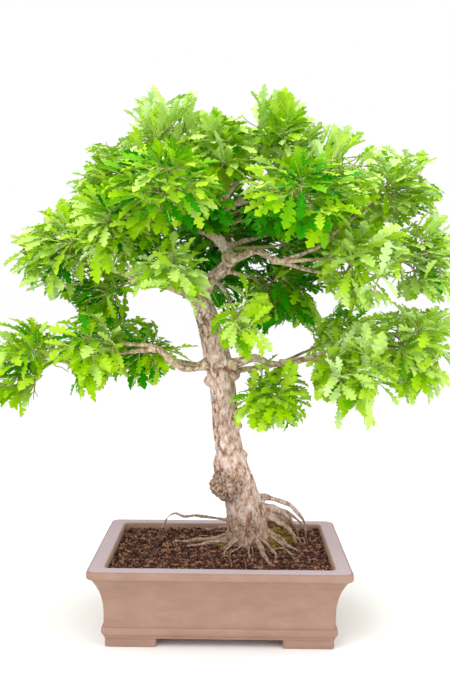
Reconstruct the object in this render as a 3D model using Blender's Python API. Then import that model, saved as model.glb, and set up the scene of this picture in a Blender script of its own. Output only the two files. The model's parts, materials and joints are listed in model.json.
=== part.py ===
"""An oak bonsai in an unglazed rectangular pot, as one solid for each sub-part.

Blender 4.5 script.  Units are metres, +Z is up, +X is the tree's right-hand side and -Y its front.
The origin is the middle of the pot's underside.  The pot is filled with soil, the trunk with its
surface roots stands on the soil, every bough leaves the trunk or another bough, and every bough
carries one mass of twigs and leaves at its tip.
"""
import math
import random
from dataclasses import dataclass

import bmesh
import bpy
from mathutils import Matrix, Quaternion, Vector
from mathutils.bvhtree import BVHTree

# Clearance between solids that touch on the real plant.
GAP = 0.0003

# Pot: rectangular, with a rolled lip, a cove under it, a bead above the four corner feet.
POT_LENGTH = 0.360
POT_DEPTH = 0.280
POT_HEIGHT = 0.110
POT_CORNER = 0.012
CORNER_STEPS = 3
FOOT_HEIGHT = 0.012
FOOT_LENGTH = 0.070
FOOT_DEPTH = 0.055
FOOT_INSET = 0.0235
LIP_THICKNESS = 0.012
LIP_ROUNDING = 0.003
COVE_TOP_INSET = 0.004
COVE_BOTTOM = 0.040
COVE_STEPS = 5
COVE_POWER = 2.5
BODY_INSET = 0.021
BEAD_HEIGHT = 0.0225
BEAD_HALF = 0.0035
BEAD_INSET = 0.0175
RIM_WIDTH = 0.025
WALL = 0.009
FLOOR_TOP = 0.022
DRAIN_RADIUS = 0.014
DRAIN_SPACING = 0.150
DRAIN_SIDES = 16

# Soil, level and a little below the rim.
SOIL_TOP = 0.103

# Trunk: centre line and radius, in millimetres, from below the soil line up to the leader's tip.
TRUNK_LINE_MM = (
    (44, 40, 90, 39),
    (41, 38, 118, 33),
    (36, 35, 150, 30),
    (23, 28, 203, 24),
    (8, 22, 258, 20.5),
    (1, 17, 335, 19.5),
    (-7, 13, 380, 20),
    (-18, 10, 425, 17.5),
    (-28, 6, 460, 16),
    (-31, 4, 480, 13),
    (-18, 0, 501, 10),
    (2, -2, 521, 9.2),
    (8, 0, 536, 8.6),
    (0, 6, 552, 8),
    (-13, 12, 568, 7.5),
    (-16, 16, 586, 6.5),
    (-7, 14, 608, 5.5),
    (3, 10, 630, 4.5),
    (0, 4, 655, 3.5),
)
TRUNK_SIDES = 11
TRUNK_STEP = 0.018

# Burl: a swelling on the left of the lower trunk.
BURL_CENTRE = Vector((0.010, 0.026, 0.196))
BURL_RADII = Vector((0.026, 0.024, 0.027))

# Surface roots: bearing from +X in degrees, height at which the root leaves the trunk above the
# soil, reach from the trunk's foot, roundness of its arch (2 is a quarter ellipse, below 1 hugs
# the soil) and radius at the trunk.
ROOT_SIDES = 5
ROOT_STEPS = 5
ROOT_END_TAPER = 0.55
ROOTS = (
    (174, 0.052, 0.145, 1.60, 0.0036),
    (142, 0.030, 0.094, 1.00, 0.0045),
    (182, 0.017, 0.118, 0.80, 0.0060),
    (197, 0.010, 0.100, 0.90, 0.0055),
    (226, 0.016, 0.060, 1.00, 0.0070),
    (268, 0.014, 0.085, 0.90, 0.0035),
    (283, 0.020, 0.118, 0.80, 0.0060),
    (298, 0.026, 0.078, 1.00, 0.0060),
    (326, 0.028, 0.082, 1.00, 0.0055),
    (5, 0.070, 0.088, 2.20, 0.0048),
    (22, 0.056, 0.094, 1.80, 0.0042),
    (344, 0.044, 0.080, 1.60, 0.0045),
    (48, 0.040, 0.082, 1.30, 0.0060),
    (78, 0.024, 0.058, 1.00, 0.0070),
    (112, 0.026, 0.062, 1.00, 0.0065),
)

# Boughs.
BOUGH_TIP_RADIUS = 0.0023
BOUGH_STEP = 0.027
COLLAR = 1.25
COLLAR_LENGTH = 0.014
THICK_BOUGH = 0.0045
THICK_SIDES = 7
THIN_SIDES = 5

# Twigs and leaves.
TWIG_SIDES = 3
TWIG_TIP_RADIUS = 0.0013
TWIG_BRANCHING_POWER = 0.38
TWIG_BOW = 0.10
LEAF_LENGTH = 0.082
LEAF_WIDTH = 0.052
LEAF_THICKNESS = 0.0014
LEAF_WIDEST = 0.58
LEAF_RIDGE = 0.45
LEAF_SINK = 0.0003
LEAF_SPACING = 0.0050
LEAVES_PER_SPRAY = 5
SPRAY_VOLUME = 7.2e-4
GOLDEN_ANGLE = math.radians(137.5)
CELL_MARGIN = 0.0005
LIMB_MARGIN = 0.0007


@dataclass(frozen=True)
class Branch:
    """A bough and the leaf mass at its tip.

    The bough leaves `parent` at the fraction `at` of the parent's line, passes through the points
    `via` and ends where it enters its mass.  The mass fills an ellipsoid of half-axes `radii`
    round `centre`, and `droop` tilts its leaves from level (0) to hanging (1).
    """
    name: str
    parent: str
    at: float
    radius: float
    via: tuple
    centre: tuple
    radii: tuple
    droop: float


# One row for each bough, from the bottom of the tree to its top.
BRANCHES = (
    Branch("lower_right_inner", "trunk", 0.345, 0.0048, ((0.028, 0.002, 0.313),),
           (0.070, -0.030, 0.334), (0.066, 0.070, 0.066), 0.6),
    Branch("lower_right", "trunk", 0.472, 0.0095,
           ((0.036, 0.000, 0.385), (0.057, -0.010, 0.388), (0.076, -0.018, 0.378),
            (0.100, -0.025, 0.383), (0.138, -0.034, 0.388)),
           (0.187, -0.040, 0.368), (0.074, 0.092, 0.086), 0.5),
    Branch("lower_right_tip", "lower_right", 0.72, 0.0032,
           ((0.150, -0.012, 0.398), (0.189, 0.000, 0.416)),
           (0.276, 0.000, 0.404), (0.074, 0.094, 0.084), 0.4),
    Branch("lower_right_back", "trunk", 0.455, 0.0060,
           ((0.030, 0.055, 0.365), (0.090, 0.100, 0.372)),
           (0.190, 0.160, 0.415), (0.082, 0.082, 0.068), 0.4),
    Branch("lower_left", "trunk", 0.493, 0.0083,
           ((-0.039, 0.000, 0.374), (-0.059, -0.010, 0.373), (-0.076, -0.020, 0.386),
            (-0.093, -0.028, 0.402), (-0.112, -0.034, 0.409), (-0.140, -0.040, 0.408)),
           (-0.190, -0.050, 0.392), (0.062, 0.082, 0.078), 0.6),
    Branch("lower_left_inner", "lower_left", 0.55, 0.0035, ((-0.096, -0.008, 0.402),),
           (-0.115, 0.020, 0.392), (0.056, 0.062, 0.066), 0.2),
    Branch("lower_left_tip", "lower_left", 0.72, 0.0037,
           ((-0.137, -0.020, 0.396), (-0.179, -0.006, 0.389)),
           (-0.286, -0.010, 0.374), (0.070, 0.080, 0.084), 0.5),
    Branch("lower_left_back", "trunk", 0.475, 0.0060,
           ((-0.045, 0.060, 0.372), (-0.100, 0.110, 0.380)),
           (-0.190, 0.160, 0.405), (0.082, 0.082, 0.066), 0.4),
    Branch("front", "trunk", 0.635, 0.0053, ((-0.034, -0.035, 0.484),),
           (-0.070, -0.130, 0.511), (0.056, 0.068, 0.054), 0.4),
    Branch("front_hanging", "trunk", 0.688, 0.0044, ((-0.006, -0.035, 0.497),),
           (0.024, -0.090, 0.444), (0.040, 0.058, 0.062), 0.8),
    Branch("upper_left", "trunk", 0.639, 0.0073,
           ((-0.063, -0.006, 0.485), (-0.101, -0.018, 0.495), (-0.129, -0.024, 0.502),
            (-0.153, -0.028, 0.513)),
           (-0.246, 0.000, 0.546), (0.082, 0.112, 0.078), 0.1),
    Branch("left_under", "upper_left", 0.50, 0.0034, ((-0.136, 0.000, 0.496),),
           (-0.188, 0.050, 0.480), (0.074, 0.092, 0.060), 0.5),
    Branch("left_front", "upper_left", 0.62, 0.0034, ((-0.137, -0.045, 0.525),),
           (-0.146, -0.092, 0.578), (0.068, 0.094, 0.074), 0.2),
    Branch("right_back_low", "trunk", 0.730, 0.0050, ((0.024, 0.030, 0.511),),
           (0.096, 0.100, 0.484), (0.084, 0.100, 0.074), 0.5),
    Branch("upper_right", "trunk", 0.770, 0.0073,
           ((0.028, -0.020, 0.536), (0.046, -0.033, 0.543), (0.062, -0.042, 0.535),
            (0.082, -0.048, 0.526), (0.110, -0.051, 0.531)),
           (0.193, -0.060, 0.525), (0.074, 0.108, 0.070), 0.3),
    Branch("right_tip", "upper_right", 0.60, 0.0034,
           ((0.136, -0.020, 0.514), (0.189, 0.010, 0.515)),
           (0.290, 0.000, 0.532), (0.062, 0.098, 0.080), 0.1),
    Branch("right_shoulder", "upper_right", 0.72, 0.0032,
           ((0.135, -0.030, 0.549), (0.165, -0.005, 0.575)),
           (0.247, 0.020, 0.638), (0.080, 0.100, 0.076), 0.0),
    Branch("back", "trunk", 0.776, 0.0050, ((0.009, 0.045, 0.551),),
           (0.010, 0.125, 0.585), (0.100, 0.090, 0.092), 0.2),
    Branch("right_back", "trunk", 0.803, 0.0046, ((0.047, 0.070, 0.566),),
           (0.175, 0.180, 0.600), (0.094, 0.090, 0.084), 0.2),
    Branch("left_back", "trunk", 0.822, 0.0046, ((-0.049, 0.070, 0.578),),
           (-0.176, 0.180, 0.604), (0.090, 0.090, 0.084), 0.1),
    Branch("top_left", "trunk", 0.853, 0.0062, ((-0.029, 0.014, 0.598), (-0.047, 0.014, 0.630)),
           (-0.080, 0.020, 0.709), (0.074, 0.114, 0.084), -0.2),
    Branch("left_high", "top_left", 0.25, 0.0041, ((-0.064, 0.006, 0.617),),
           (-0.158, 0.000, 0.656), (0.072, 0.118, 0.068), 0.0),
    Branch("front_left_high", "top_left", 0.58, 0.0036, ((-0.052, -0.040, 0.622),),
           (-0.075, -0.172, 0.624), (0.064, 0.094, 0.060), 0.0),
    Branch("right_high", "trunk", 0.898, 0.0047, ((0.025, 0.004, 0.616), (0.064, -0.006, 0.632)),
           (0.154, -0.020, 0.638), (0.072, 0.120, 0.088), -0.1),
    Branch("front_right_high", "right_high", 0.36, 0.0034, ((0.058, -0.050, 0.616),),
           (0.101, -0.172, 0.612), (0.064, 0.094, 0.060), 0.1),
    Branch("top_right", "trunk", 0.945, 0.0041, ((0.017, 0.004, 0.641), (0.038, -0.004, 0.642)),
           (0.080, 0.000, 0.704), (0.070, 0.114, 0.082), -0.2),
    Branch("top_back", "trunk", 0.960, 0.0036, ((0.004, 0.050, 0.655),),
           (0.000, 0.140, 0.706), (0.082, 0.090, 0.078), -0.1),
)

# The leader's own mass stands straight on the trunk's tip.
LEADER = Branch("top", "trunk", 1.0, 0.0035, (), (0.000, -0.040, 0.690), (0.060, 0.090, 0.066), -0.1)

# Surface colours (sRGB 0-255), roughness.
POT_FINISH = ((186, 150, 132), 0.8)
SOIL_FINISH = ((92, 59, 52), 1.0)
BARK_FINISH = ((182, 154, 132), 0.9)
LEAF_FINISH = ((145, 190, 52), 0.55)


# ---------------------------------------------------------------- scene, materials and meshes

def clear_scene():
    """Remove every object of the open file."""
    for obj in list(bpy.data.objects):
        bpy.data.objects.remove(obj, do_unlink=True)


def linear(channel):
    """Turn one sRGB channel (0-255) into the linear value a shader takes."""
    value = channel / 255.0
    return value / 12.92 if value <= 0.04045 else ((value + 0.055) / 1.055) ** 2.4


def make_material(name, finish):
    """Make a Principled material of one colour and roughness."""
    colour, roughness = finish
    material = bpy.data.materials.new(name)
    material.use_nodes = True
    shader = material.node_tree.nodes["Principled BSDF"]
    shader.inputs["Base Color"].default_value = (*[linear(channel) for channel in colour], 1.0)
    shader.inputs["Roughness"].default_value = roughness
    shader.inputs["Metallic"].default_value = 0.0
    return material


def make_object(name, vertices, faces, finish=None, collection=None):
    """Make an object of one closed mesh with its faces turned outward."""
    mesh = bpy.data.meshes.new(name)
    mesh.from_pydata([tuple(vertex) for vertex in vertices], [], faces)
    shell = bmesh.new()
    shell.from_mesh(mesh)
    bmesh.ops.recalc_face_normals(shell, faces=shell.faces)
    shell.to_mesh(mesh)
    shell.free()
    obj = bpy.data.objects.new(name, mesh)
    (collection or bpy.context.scene.collection).objects.link(obj)
    if finish:
        mesh.materials.append(make_material(name, finish))
    return obj


def as_helper(obj):
    """Mark an object as a cutter or guide."""
    obj.hide_render = True
    obj.display_type = "WIRE"
    return obj


def apply_boolean(obj, operation, operand, solver="EXACT"):
    """Cut or join `obj` with an object or a collection, apply the result and drop the operand."""
    modifier = obj.modifiers.new(operation.title(), "BOOLEAN")
    modifier.operation = operation
    modifier.solver = solver
    pieces = [operand]
    if isinstance(operand, bpy.types.Collection):
        modifier.operand_type = "COLLECTION"
        modifier.collection = operand
        pieces = list(operand.objects)
    else:
        modifier.object = operand
    bpy.context.view_layer.update()
    evaluated = obj.evaluated_get(bpy.context.evaluated_depsgraph_get())
    result = bpy.data.meshes.new_from_object(evaluated)
    obj.modifiers.remove(modifier)
    obj.data = result
    for piece in pieces:
        bpy.data.objects.remove(piece, do_unlink=True)


def shells_of(mesh_data):
    """List the connected groups of faces of a bmesh."""
    unseen = set(mesh_data.faces)
    shells = []
    while unseen:
        front = [unseen.pop()]
        shell = []
        while front:
            face = front.pop()
            shell.append(face)
            for edge in face.edges:
                for other in edge.link_faces:
                    if other in unseen:
                        unseen.discard(other)
                        front.append(other)
        shells.append(shell)
    return shells


def keep_main_shell(obj):
    """Keep the largest shell of a mesh, which drops loose scraps and fills sealed hollows."""
    shell_mesh = bmesh.new()
    shell_mesh.from_mesh(obj.data)
    shells = sorted(shells_of(shell_mesh), key=len)
    for shell in shells[:-1]:
        bmesh.ops.delete(shell_mesh, geom=shell, context="FACES")
    shell_mesh.to_mesh(obj.data)
    shell_mesh.free()


def set_finish(obj, finish):
    """Give an object one material of its own."""
    obj.data.materials.clear()
    obj.data.materials.append(make_material(obj.name, finish))


def shade_round(obj):
    """Shade a round piece smooth with its sharp edges kept."""
    obj.data.shade_smooth()
    obj.data.set_sharp_from_angle(angle=math.radians(40))


# ---------------------------------------------------------------- lines and tubes

def smooth_line(points, step):
    """Walk a Catmull-Rom curve through `points` (vectors of any size) in steps of about `step`."""
    first = points[0] * 2 - points[1]
    last = points[-1] * 2 - points[-2]
    ends = [first, *points, last]
    line = []
    for index in range(len(points) - 1):
        before, start, end, after = ends[index:index + 4]
        count = max(1, round((end - start).length / step))
        for part in range(count):
            t = part / count
            line.append(0.5 * (2 * start + (end - before) * t
                               + (2 * before - 5 * start + 4 * end - after) * t ** 2
                               + (3 * start - before - 3 * end + after) * t ** 3))
    line.append(points[-1].copy())
    return line


def lengths_along(line):
    """Running length at each point of a line."""
    lengths = [0.0]
    for before, point in zip(line, line[1:]):
        lengths.append(lengths[-1] + (point - before).length)
    return lengths


def point_at(line, fraction):
    """Point at a fraction of a line's length."""
    lengths = lengths_along(line)
    target = fraction * lengths[-1]
    for index in range(1, len(line)):
        if lengths[index] >= target:
            share = (target - lengths[index - 1]) / (lengths[index] - lengths[index - 1])
            return line[index - 1].lerp(line[index], share)
    return line[-1].copy()


def headings_along(line):
    """Unit heading at each point of a line."""
    last = len(line) - 1
    return [(line[min(index + 1, last)] - line[max(index - 1, 0)]).normalized()
            for index in range(len(line))]


def tube_mesh(line, radii, sides, extra=0.0):
    """Vertices and faces of a capped tube round a line, with one radius for each point."""
    headings = headings_along(line)
    across = headings[0].orthogonal().normalized()
    vertices = []
    for index, (point, heading, radius) in enumerate(zip(line, headings, radii)):
        if index:
            across = headings[index - 1].rotation_difference(heading) @ across
        for side in range(sides):
            turn = Quaternion(heading, 2 * math.pi * side / sides)
            vertices.append(point + (turn @ across) * (radius + extra))
    faces = [tuple(range(sides)), tuple(range(len(vertices) - sides, len(vertices)))]
    for ring in range(len(line) - 1):
        for side in range(sides):
            low = ring * sides + side
            low_next = ring * sides + (side + 1) % sides
            faces.append((low, low_next, low_next + sides, low + sides))
    return vertices, faces


def tree_of(vertices, faces):
    """Search tree of a mesh, for overlap tests."""
    return BVHTree.FromPolygons([tuple(vertex) for vertex in vertices], faces)


# ---------------------------------------------------------------- pot and soil

def rectangle_ring(inset, height):
    """Points of the pot's plan outline, moved in by `inset`, with rounded corners."""
    half_length = POT_LENGTH / 2 - inset
    half_depth = POT_DEPTH / 2 - inset
    radius = max(POT_CORNER - inset * 0.2, 0.004)
    ring = []
    for corner, (sign_x, sign_y) in enumerate(((1, 1), (-1, 1), (-1, -1), (1, -1))):
        centre_x = sign_x * (half_length - radius)
        centre_y = sign_y * (half_depth - radius)
        for step in range(CORNER_STEPS + 1):
            angle = math.pi / 2 * (corner + step / CORNER_STEPS)
            ring.append(Vector((centre_x + radius * math.cos(angle),
                                centre_y + radius * math.sin(angle), height)))
    return ring


def loft_rings(rings):
    """Vertices and faces of a solid through rings of equal size, capped at both ends."""
    size = len(rings[0])
    vertices = [point for ring in rings for point in ring]
    faces = [tuple(range(size)), tuple(range(len(vertices) - size, len(vertices)))]
    for ring in range(len(rings) - 1):
        for side in range(size):
            low = ring * size + side
            low_next = ring * size + (side + 1) % size
            faces.append((low, low_next, low_next + size, low + size))
    return vertices, faces


def pot_profile():
    """Inset and height of each ring, from the underside up the outside and down the inside."""
    lip_bottom = POT_HEIGHT - LIP_THICKNESS
    profile = [(BODY_INSET + 0.003, FOOT_HEIGHT), (BODY_INSET, FOOT_HEIGHT + 0.002),
               (BODY_INSET, BEAD_HEIGHT - 1.6 * BEAD_HALF), (BEAD_INSET, BEAD_HEIGHT - BEAD_HALF * 0.5),
               (BEAD_INSET, BEAD_HEIGHT + BEAD_HALF * 0.5), (BODY_INSET, BEAD_HEIGHT + 1.6 * BEAD_HALF)]
    for step in range(COVE_STEPS + 1):
        rise = step / COVE_STEPS
        inset = BODY_INSET - (BODY_INSET - COVE_TOP_INSET) * rise ** COVE_POWER
        profile.append((inset, COVE_BOTTOM + (lip_bottom - COVE_BOTTOM) * rise))
    profile += [(0.0, lip_bottom + LIP_ROUNDING), (0.0, POT_HEIGHT - LIP_ROUNDING),
                (LIP_ROUNDING, POT_HEIGHT), (RIM_WIDTH - LIP_ROUNDING, POT_HEIGHT),
                (RIM_WIDTH, POT_HEIGHT - LIP_ROUNDING), (BODY_INSET + WALL, lip_bottom - LIP_THICKNESS),
                (BODY_INSET + WALL, FLOOR_TOP)]
    return profile


def foot_object(sign_x, sign_y, collection):
    """One corner foot: an upright block that runs a little way up into the pot's floor."""
    outer_x = POT_LENGTH / 2 - FOOT_INSET
    outer_y = POT_DEPTH / 2 - FOOT_INSET
    top = (FOOT_HEIGHT + FLOOR_TOP) / 2
    corners = [(outer_x, outer_y), (outer_x - FOOT_LENGTH, outer_y),
               (outer_x - FOOT_LENGTH, outer_y - FOOT_DEPTH), (outer_x, outer_y - FOOT_DEPTH)]
    rings = [[Vector((sign_x * x, sign_y * y, height)) for x, y in corners] for height in (0.0, top)]
    return make_object("foot", *loft_rings(rings), collection=collection)


def drain_object(sign_x, collection):
    """Cutter for one drain hole in the floor."""
    centre = Vector((sign_x * DRAIN_SPACING / 2, 0, 0))
    line = [centre + Vector((0, 0, FOOT_HEIGHT / 2)), centre + Vector((0, 0, FLOOR_TOP * 1.3))]
    mesh = tube_mesh(line, [DRAIN_RADIUS] * 2, DRAIN_SIDES)
    return as_helper(make_object("drain", *mesh, collection=collection))


def build_pot():
    """The pot with its four feet and two drain holes."""
    rings = [rectangle_ring(inset, height) for inset, height in pot_profile()]
    pot = make_object("pot", *loft_rings(rings))
    feet = bpy.data.collections.new("feet")
    bpy.context.scene.collection.children.link(feet)
    for sign_x in (-1, 1):
        for sign_y in (-1, 1):
            foot_object(sign_x, sign_y, feet)
    apply_boolean(pot, "UNION", feet)
    drains = bpy.data.collections.new("drains")
    bpy.context.scene.collection.children.link(drains)
    for sign_x in (-1, 1):
        drain_object(sign_x, drains)
    apply_boolean(pot, "DIFFERENCE", drains)
    set_finish(pot, POT_FINISH)
    shade_round(pot)


def build_soil():
    """The block of soil that fills the pot, clear of its wall by the gap."""
    wall_inset = BODY_INSET + WALL + GAP
    lip_bottom = POT_HEIGHT - 2 * LIP_THICKNESS
    slope = (BODY_INSET + WALL - RIM_WIDTH) / (POT_HEIGHT - LIP_ROUNDING - lip_bottom)
    top_inset = wall_inset - slope * (SOIL_TOP - lip_bottom) + GAP
    rings = [rectangle_ring(wall_inset, FLOOR_TOP + GAP), rectangle_ring(wall_inset, lip_bottom - GAP),
             rectangle_ring(top_inset, SOIL_TOP)]
    make_object("soil", *loft_rings(rings), finish=SOIL_FINISH)


# ---------------------------------------------------------------- trunk and boughs

def trunk_line():
    """Points and radii of the trunk, from below the soil line to the leader's tip."""
    waypoints = [Vector(values) * 0.001 for values in TRUNK_LINE_MM]
    walked = smooth_line(waypoints, TRUNK_STEP)
    return [Vector(point[:3]) for point in walked], [point[3] for point in walked]


def root_line(bearing, leave, reach, roundness):
    """Centre line of a surface root that arches from the trunk down to the soil."""
    foot = Vector(TRUNK_LINE_MM[0][:3]) * 0.001
    way = Vector((math.cos(math.radians(bearing)), math.sin(math.radians(bearing)), 0))
    line = []
    for step in range(ROOT_STEPS + 1):
        angle = math.pi / 2 * step / ROOT_STEPS
        out = reach * math.sin(angle) ** (2 / roundness)
        up = leave * max(math.cos(angle), 0.0) ** (2 / roundness)
        line.append(Vector((foot.x, foot.y, SOIL_TOP + up)) + way * out)
    line.append(line[-1] + way * 0.004 - Vector((0, 0, 0.012)))
    return line


def build_trunk():
    """Trunk, burl and surface roots in one solid, cut flat at the soil."""
    line, radii = trunk_line()
    trunk = make_object("trunk", *tube_mesh(line, radii, TRUNK_SIDES))
    extras = bpy.data.collections.new("flare")
    bpy.context.scene.collection.children.link(extras)
    for bearing, leave, reach, roundness, radius in ROOTS:
        root = root_line(bearing, leave, reach, roundness)
        root_radii = [radius * (1 - (1 - ROOT_END_TAPER) * index / (len(root) - 1))
                      for index in range(len(root))]
        make_object("root", *tube_mesh(root, root_radii, ROOT_SIDES), collection=extras)
    burl = bmesh.new()
    bmesh.ops.create_icosphere(burl, subdivisions=2, radius=1.0,
                               matrix=Matrix.Translation(BURL_CENTRE) @ Matrix.Diagonal((*BURL_RADII, 1)))
    burl_mesh = bpy.data.meshes.new("burl")
    burl.to_mesh(burl_mesh)
    burl.free()
    extras.objects.link(bpy.data.objects.new("burl", burl_mesh))
    apply_boolean(trunk, "UNION", extras)
    reach = POT_LENGTH
    corners = [(-reach, -reach), (reach, -reach), (reach, reach), (-reach, reach)]
    slab_rings = [[Vector((x, y, height)) for x, y in corners] for height in (0.0, SOIL_TOP + GAP)]
    apply_boolean(trunk, "DIFFERENCE", as_helper(make_object("ground", *loft_rings(slab_rings))))
    keep_main_shell(trunk)
    set_finish(trunk, BARK_FINISH)
    shade_round(trunk)
    return line, radii


def bough_radii(branch, line):
    """Radius at each point of a bough: a collar at the butt, then an even taper to the tip."""
    lengths = lengths_along(line)
    radii = []
    for length in lengths:
        share = length / lengths[-1]
        radius = branch.radius + (BOUGH_TIP_RADIUS - branch.radius) * share ** 0.8
        collar = max(0.0, 1 - length / (COLLAR_LENGTH + branch.radius))
        radii.append(radius * (1 + (COLLAR - 1) * collar))
    return radii


def bough_line(branch, start, cell):
    """Centre line of a bough from its parent's axis to where it enters its own mass."""
    waypoints = [start, *[Vector(point) for point in branch.via], cell.centre]
    fine = smooth_line(waypoints, 0.002)
    depth = BOUGH_TIP_RADIUS * 1.5
    for index, point in enumerate(fine):
        if index > 10 and cell.holds(point, depth):
            break
    step = max(1, round(BOUGH_STEP / 0.002))
    kept = fine[:index:step]
    if (fine[index] - kept[-1]).length < BOUGH_STEP / 2 and len(kept) > 2:
        kept.pop()
    kept.append(fine[index])
    return kept


def bough_sides(branch):
    """Number of sides of a bough's tube."""
    return THICK_SIDES if branch.radius > THICK_BOUGH else THIN_SIDES


def build_bough(branch, line, radii, parent_mesh):
    """One tapering limb, cut off at its butt a gap clear of its parent's bark."""
    bough = make_object("bough_" + branch.name, *tube_mesh(line, radii, bough_sides(branch)))
    cutter = as_helper(make_object("parent_bark", *parent_mesh))
    apply_boolean(bough, "DIFFERENCE", cutter)
    keep_main_shell(bough)
    set_finish(bough, BARK_FINISH)
    shade_round(bough)


# ---------------------------------------------------------------- leaf masses

class Cell:
    """The space one leaf mass keeps to: its ellipsoid, cut by a plane towards each neighbour."""

    def __init__(self, branch, branches):
        self.centre = Vector(branch.centre)
        self.radii = Vector(branch.radii)
        self.planes = []
        for other in branches:
            if other is not branch:
                self.planes.append(self.plane_towards(Vector(other.centre), Vector(other.radii)))

    def plane_towards(self, centre, radii):
        """Plane between this ellipsoid and another, nearer to the smaller of the two."""
        towards = centre - self.centre
        distance = towards.length
        normal = towards / distance
        own = math.sqrt(sum((r * n) ** 2 for r, n in zip(self.radii, normal)))
        other = math.sqrt(sum((r * n) ** 2 for r, n in zip(radii, normal)))
        return normal, distance * own / (own + other) - CELL_MARGIN

    def holds(self, point, margin=0.0):
        """Whether a point lies in the space, at least `margin` from its edge."""
        offset = point - self.centre
        scaled = Vector([value / (radius - margin) for value, radius in zip(offset, self.radii)])
        if scaled.length > 1.0:
            return False
        return all(offset.dot(normal) < limit - margin for normal, limit in self.planes)

    def volume(self):
        """Volume of the whole ellipsoid."""
        return 4 / 3 * math.pi * self.radii.x * self.radii.y * self.radii.z


def random_direction(rng):
    """Unit vector with an even spread over the sphere."""
    height = rng.uniform(-1, 1)
    angle = rng.uniform(0, 2 * math.pi)
    level = math.sqrt(1 - height * height)
    return Vector((level * math.cos(angle), level * math.sin(angle), height))


def spread_sites(cell, start, count, rng):
    """Places for the sprays: each the candidate that lies farthest from those chosen before."""
    sites = []
    for _ in range(count):
        best, best_room = None, -1.0
        for _ in range(30):
            way = random_direction(rng)
            point = cell.centre + Vector([w * r for w, r in zip(way, cell.radii)]) * rng.uniform(0.15, 0.62)
            if not cell.holds(point, LEAF_WIDTH * 0.3):
                continue
            room = min([(point - other).length for other in [*sites, start]])
            if room > best_room:
                best, best_room = point, room
        if best is not None:
            sites.append(best)
    return sorted(sites, key=lambda site: (site - start).length)


def bowed_line(start, end, rng, parts):
    """Line from start to end with a bend to one side."""
    span = end - start
    side = span.cross(random_direction(rng)).normalized() * span.length * TWIG_BOW
    return [start + span * (part / parts) + side * math.sin(math.pi * part / parts)
            for part in range(parts + 1)]


def leaf_mesh(root, way, face_up, length, start=0.0):
    """A leaf from its root along `way`: a flat kite with a ridged back, in six faces.

    A positive `start` leaves that share of the root end off.
    """
    across = way.cross(face_up).normalized()
    normal = across.cross(way).normalized()
    widest = root + way * length * LEAF_WIDEST
    side = across * (LEAF_WIDTH * length / LEAF_LENGTH / 2)
    ridge = root + way * length * LEAF_RIDGE - normal * LEAF_THICKNESS
    vertices = [root + way * length * start, root + way * length, widest + side, widest - side, ridge]
    faces = [(0, 2, 1, 3), (0, 4, 2), (2, 4, 1), (1, 4, 3), (3, 4, 0)]
    return vertices, faces


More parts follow.
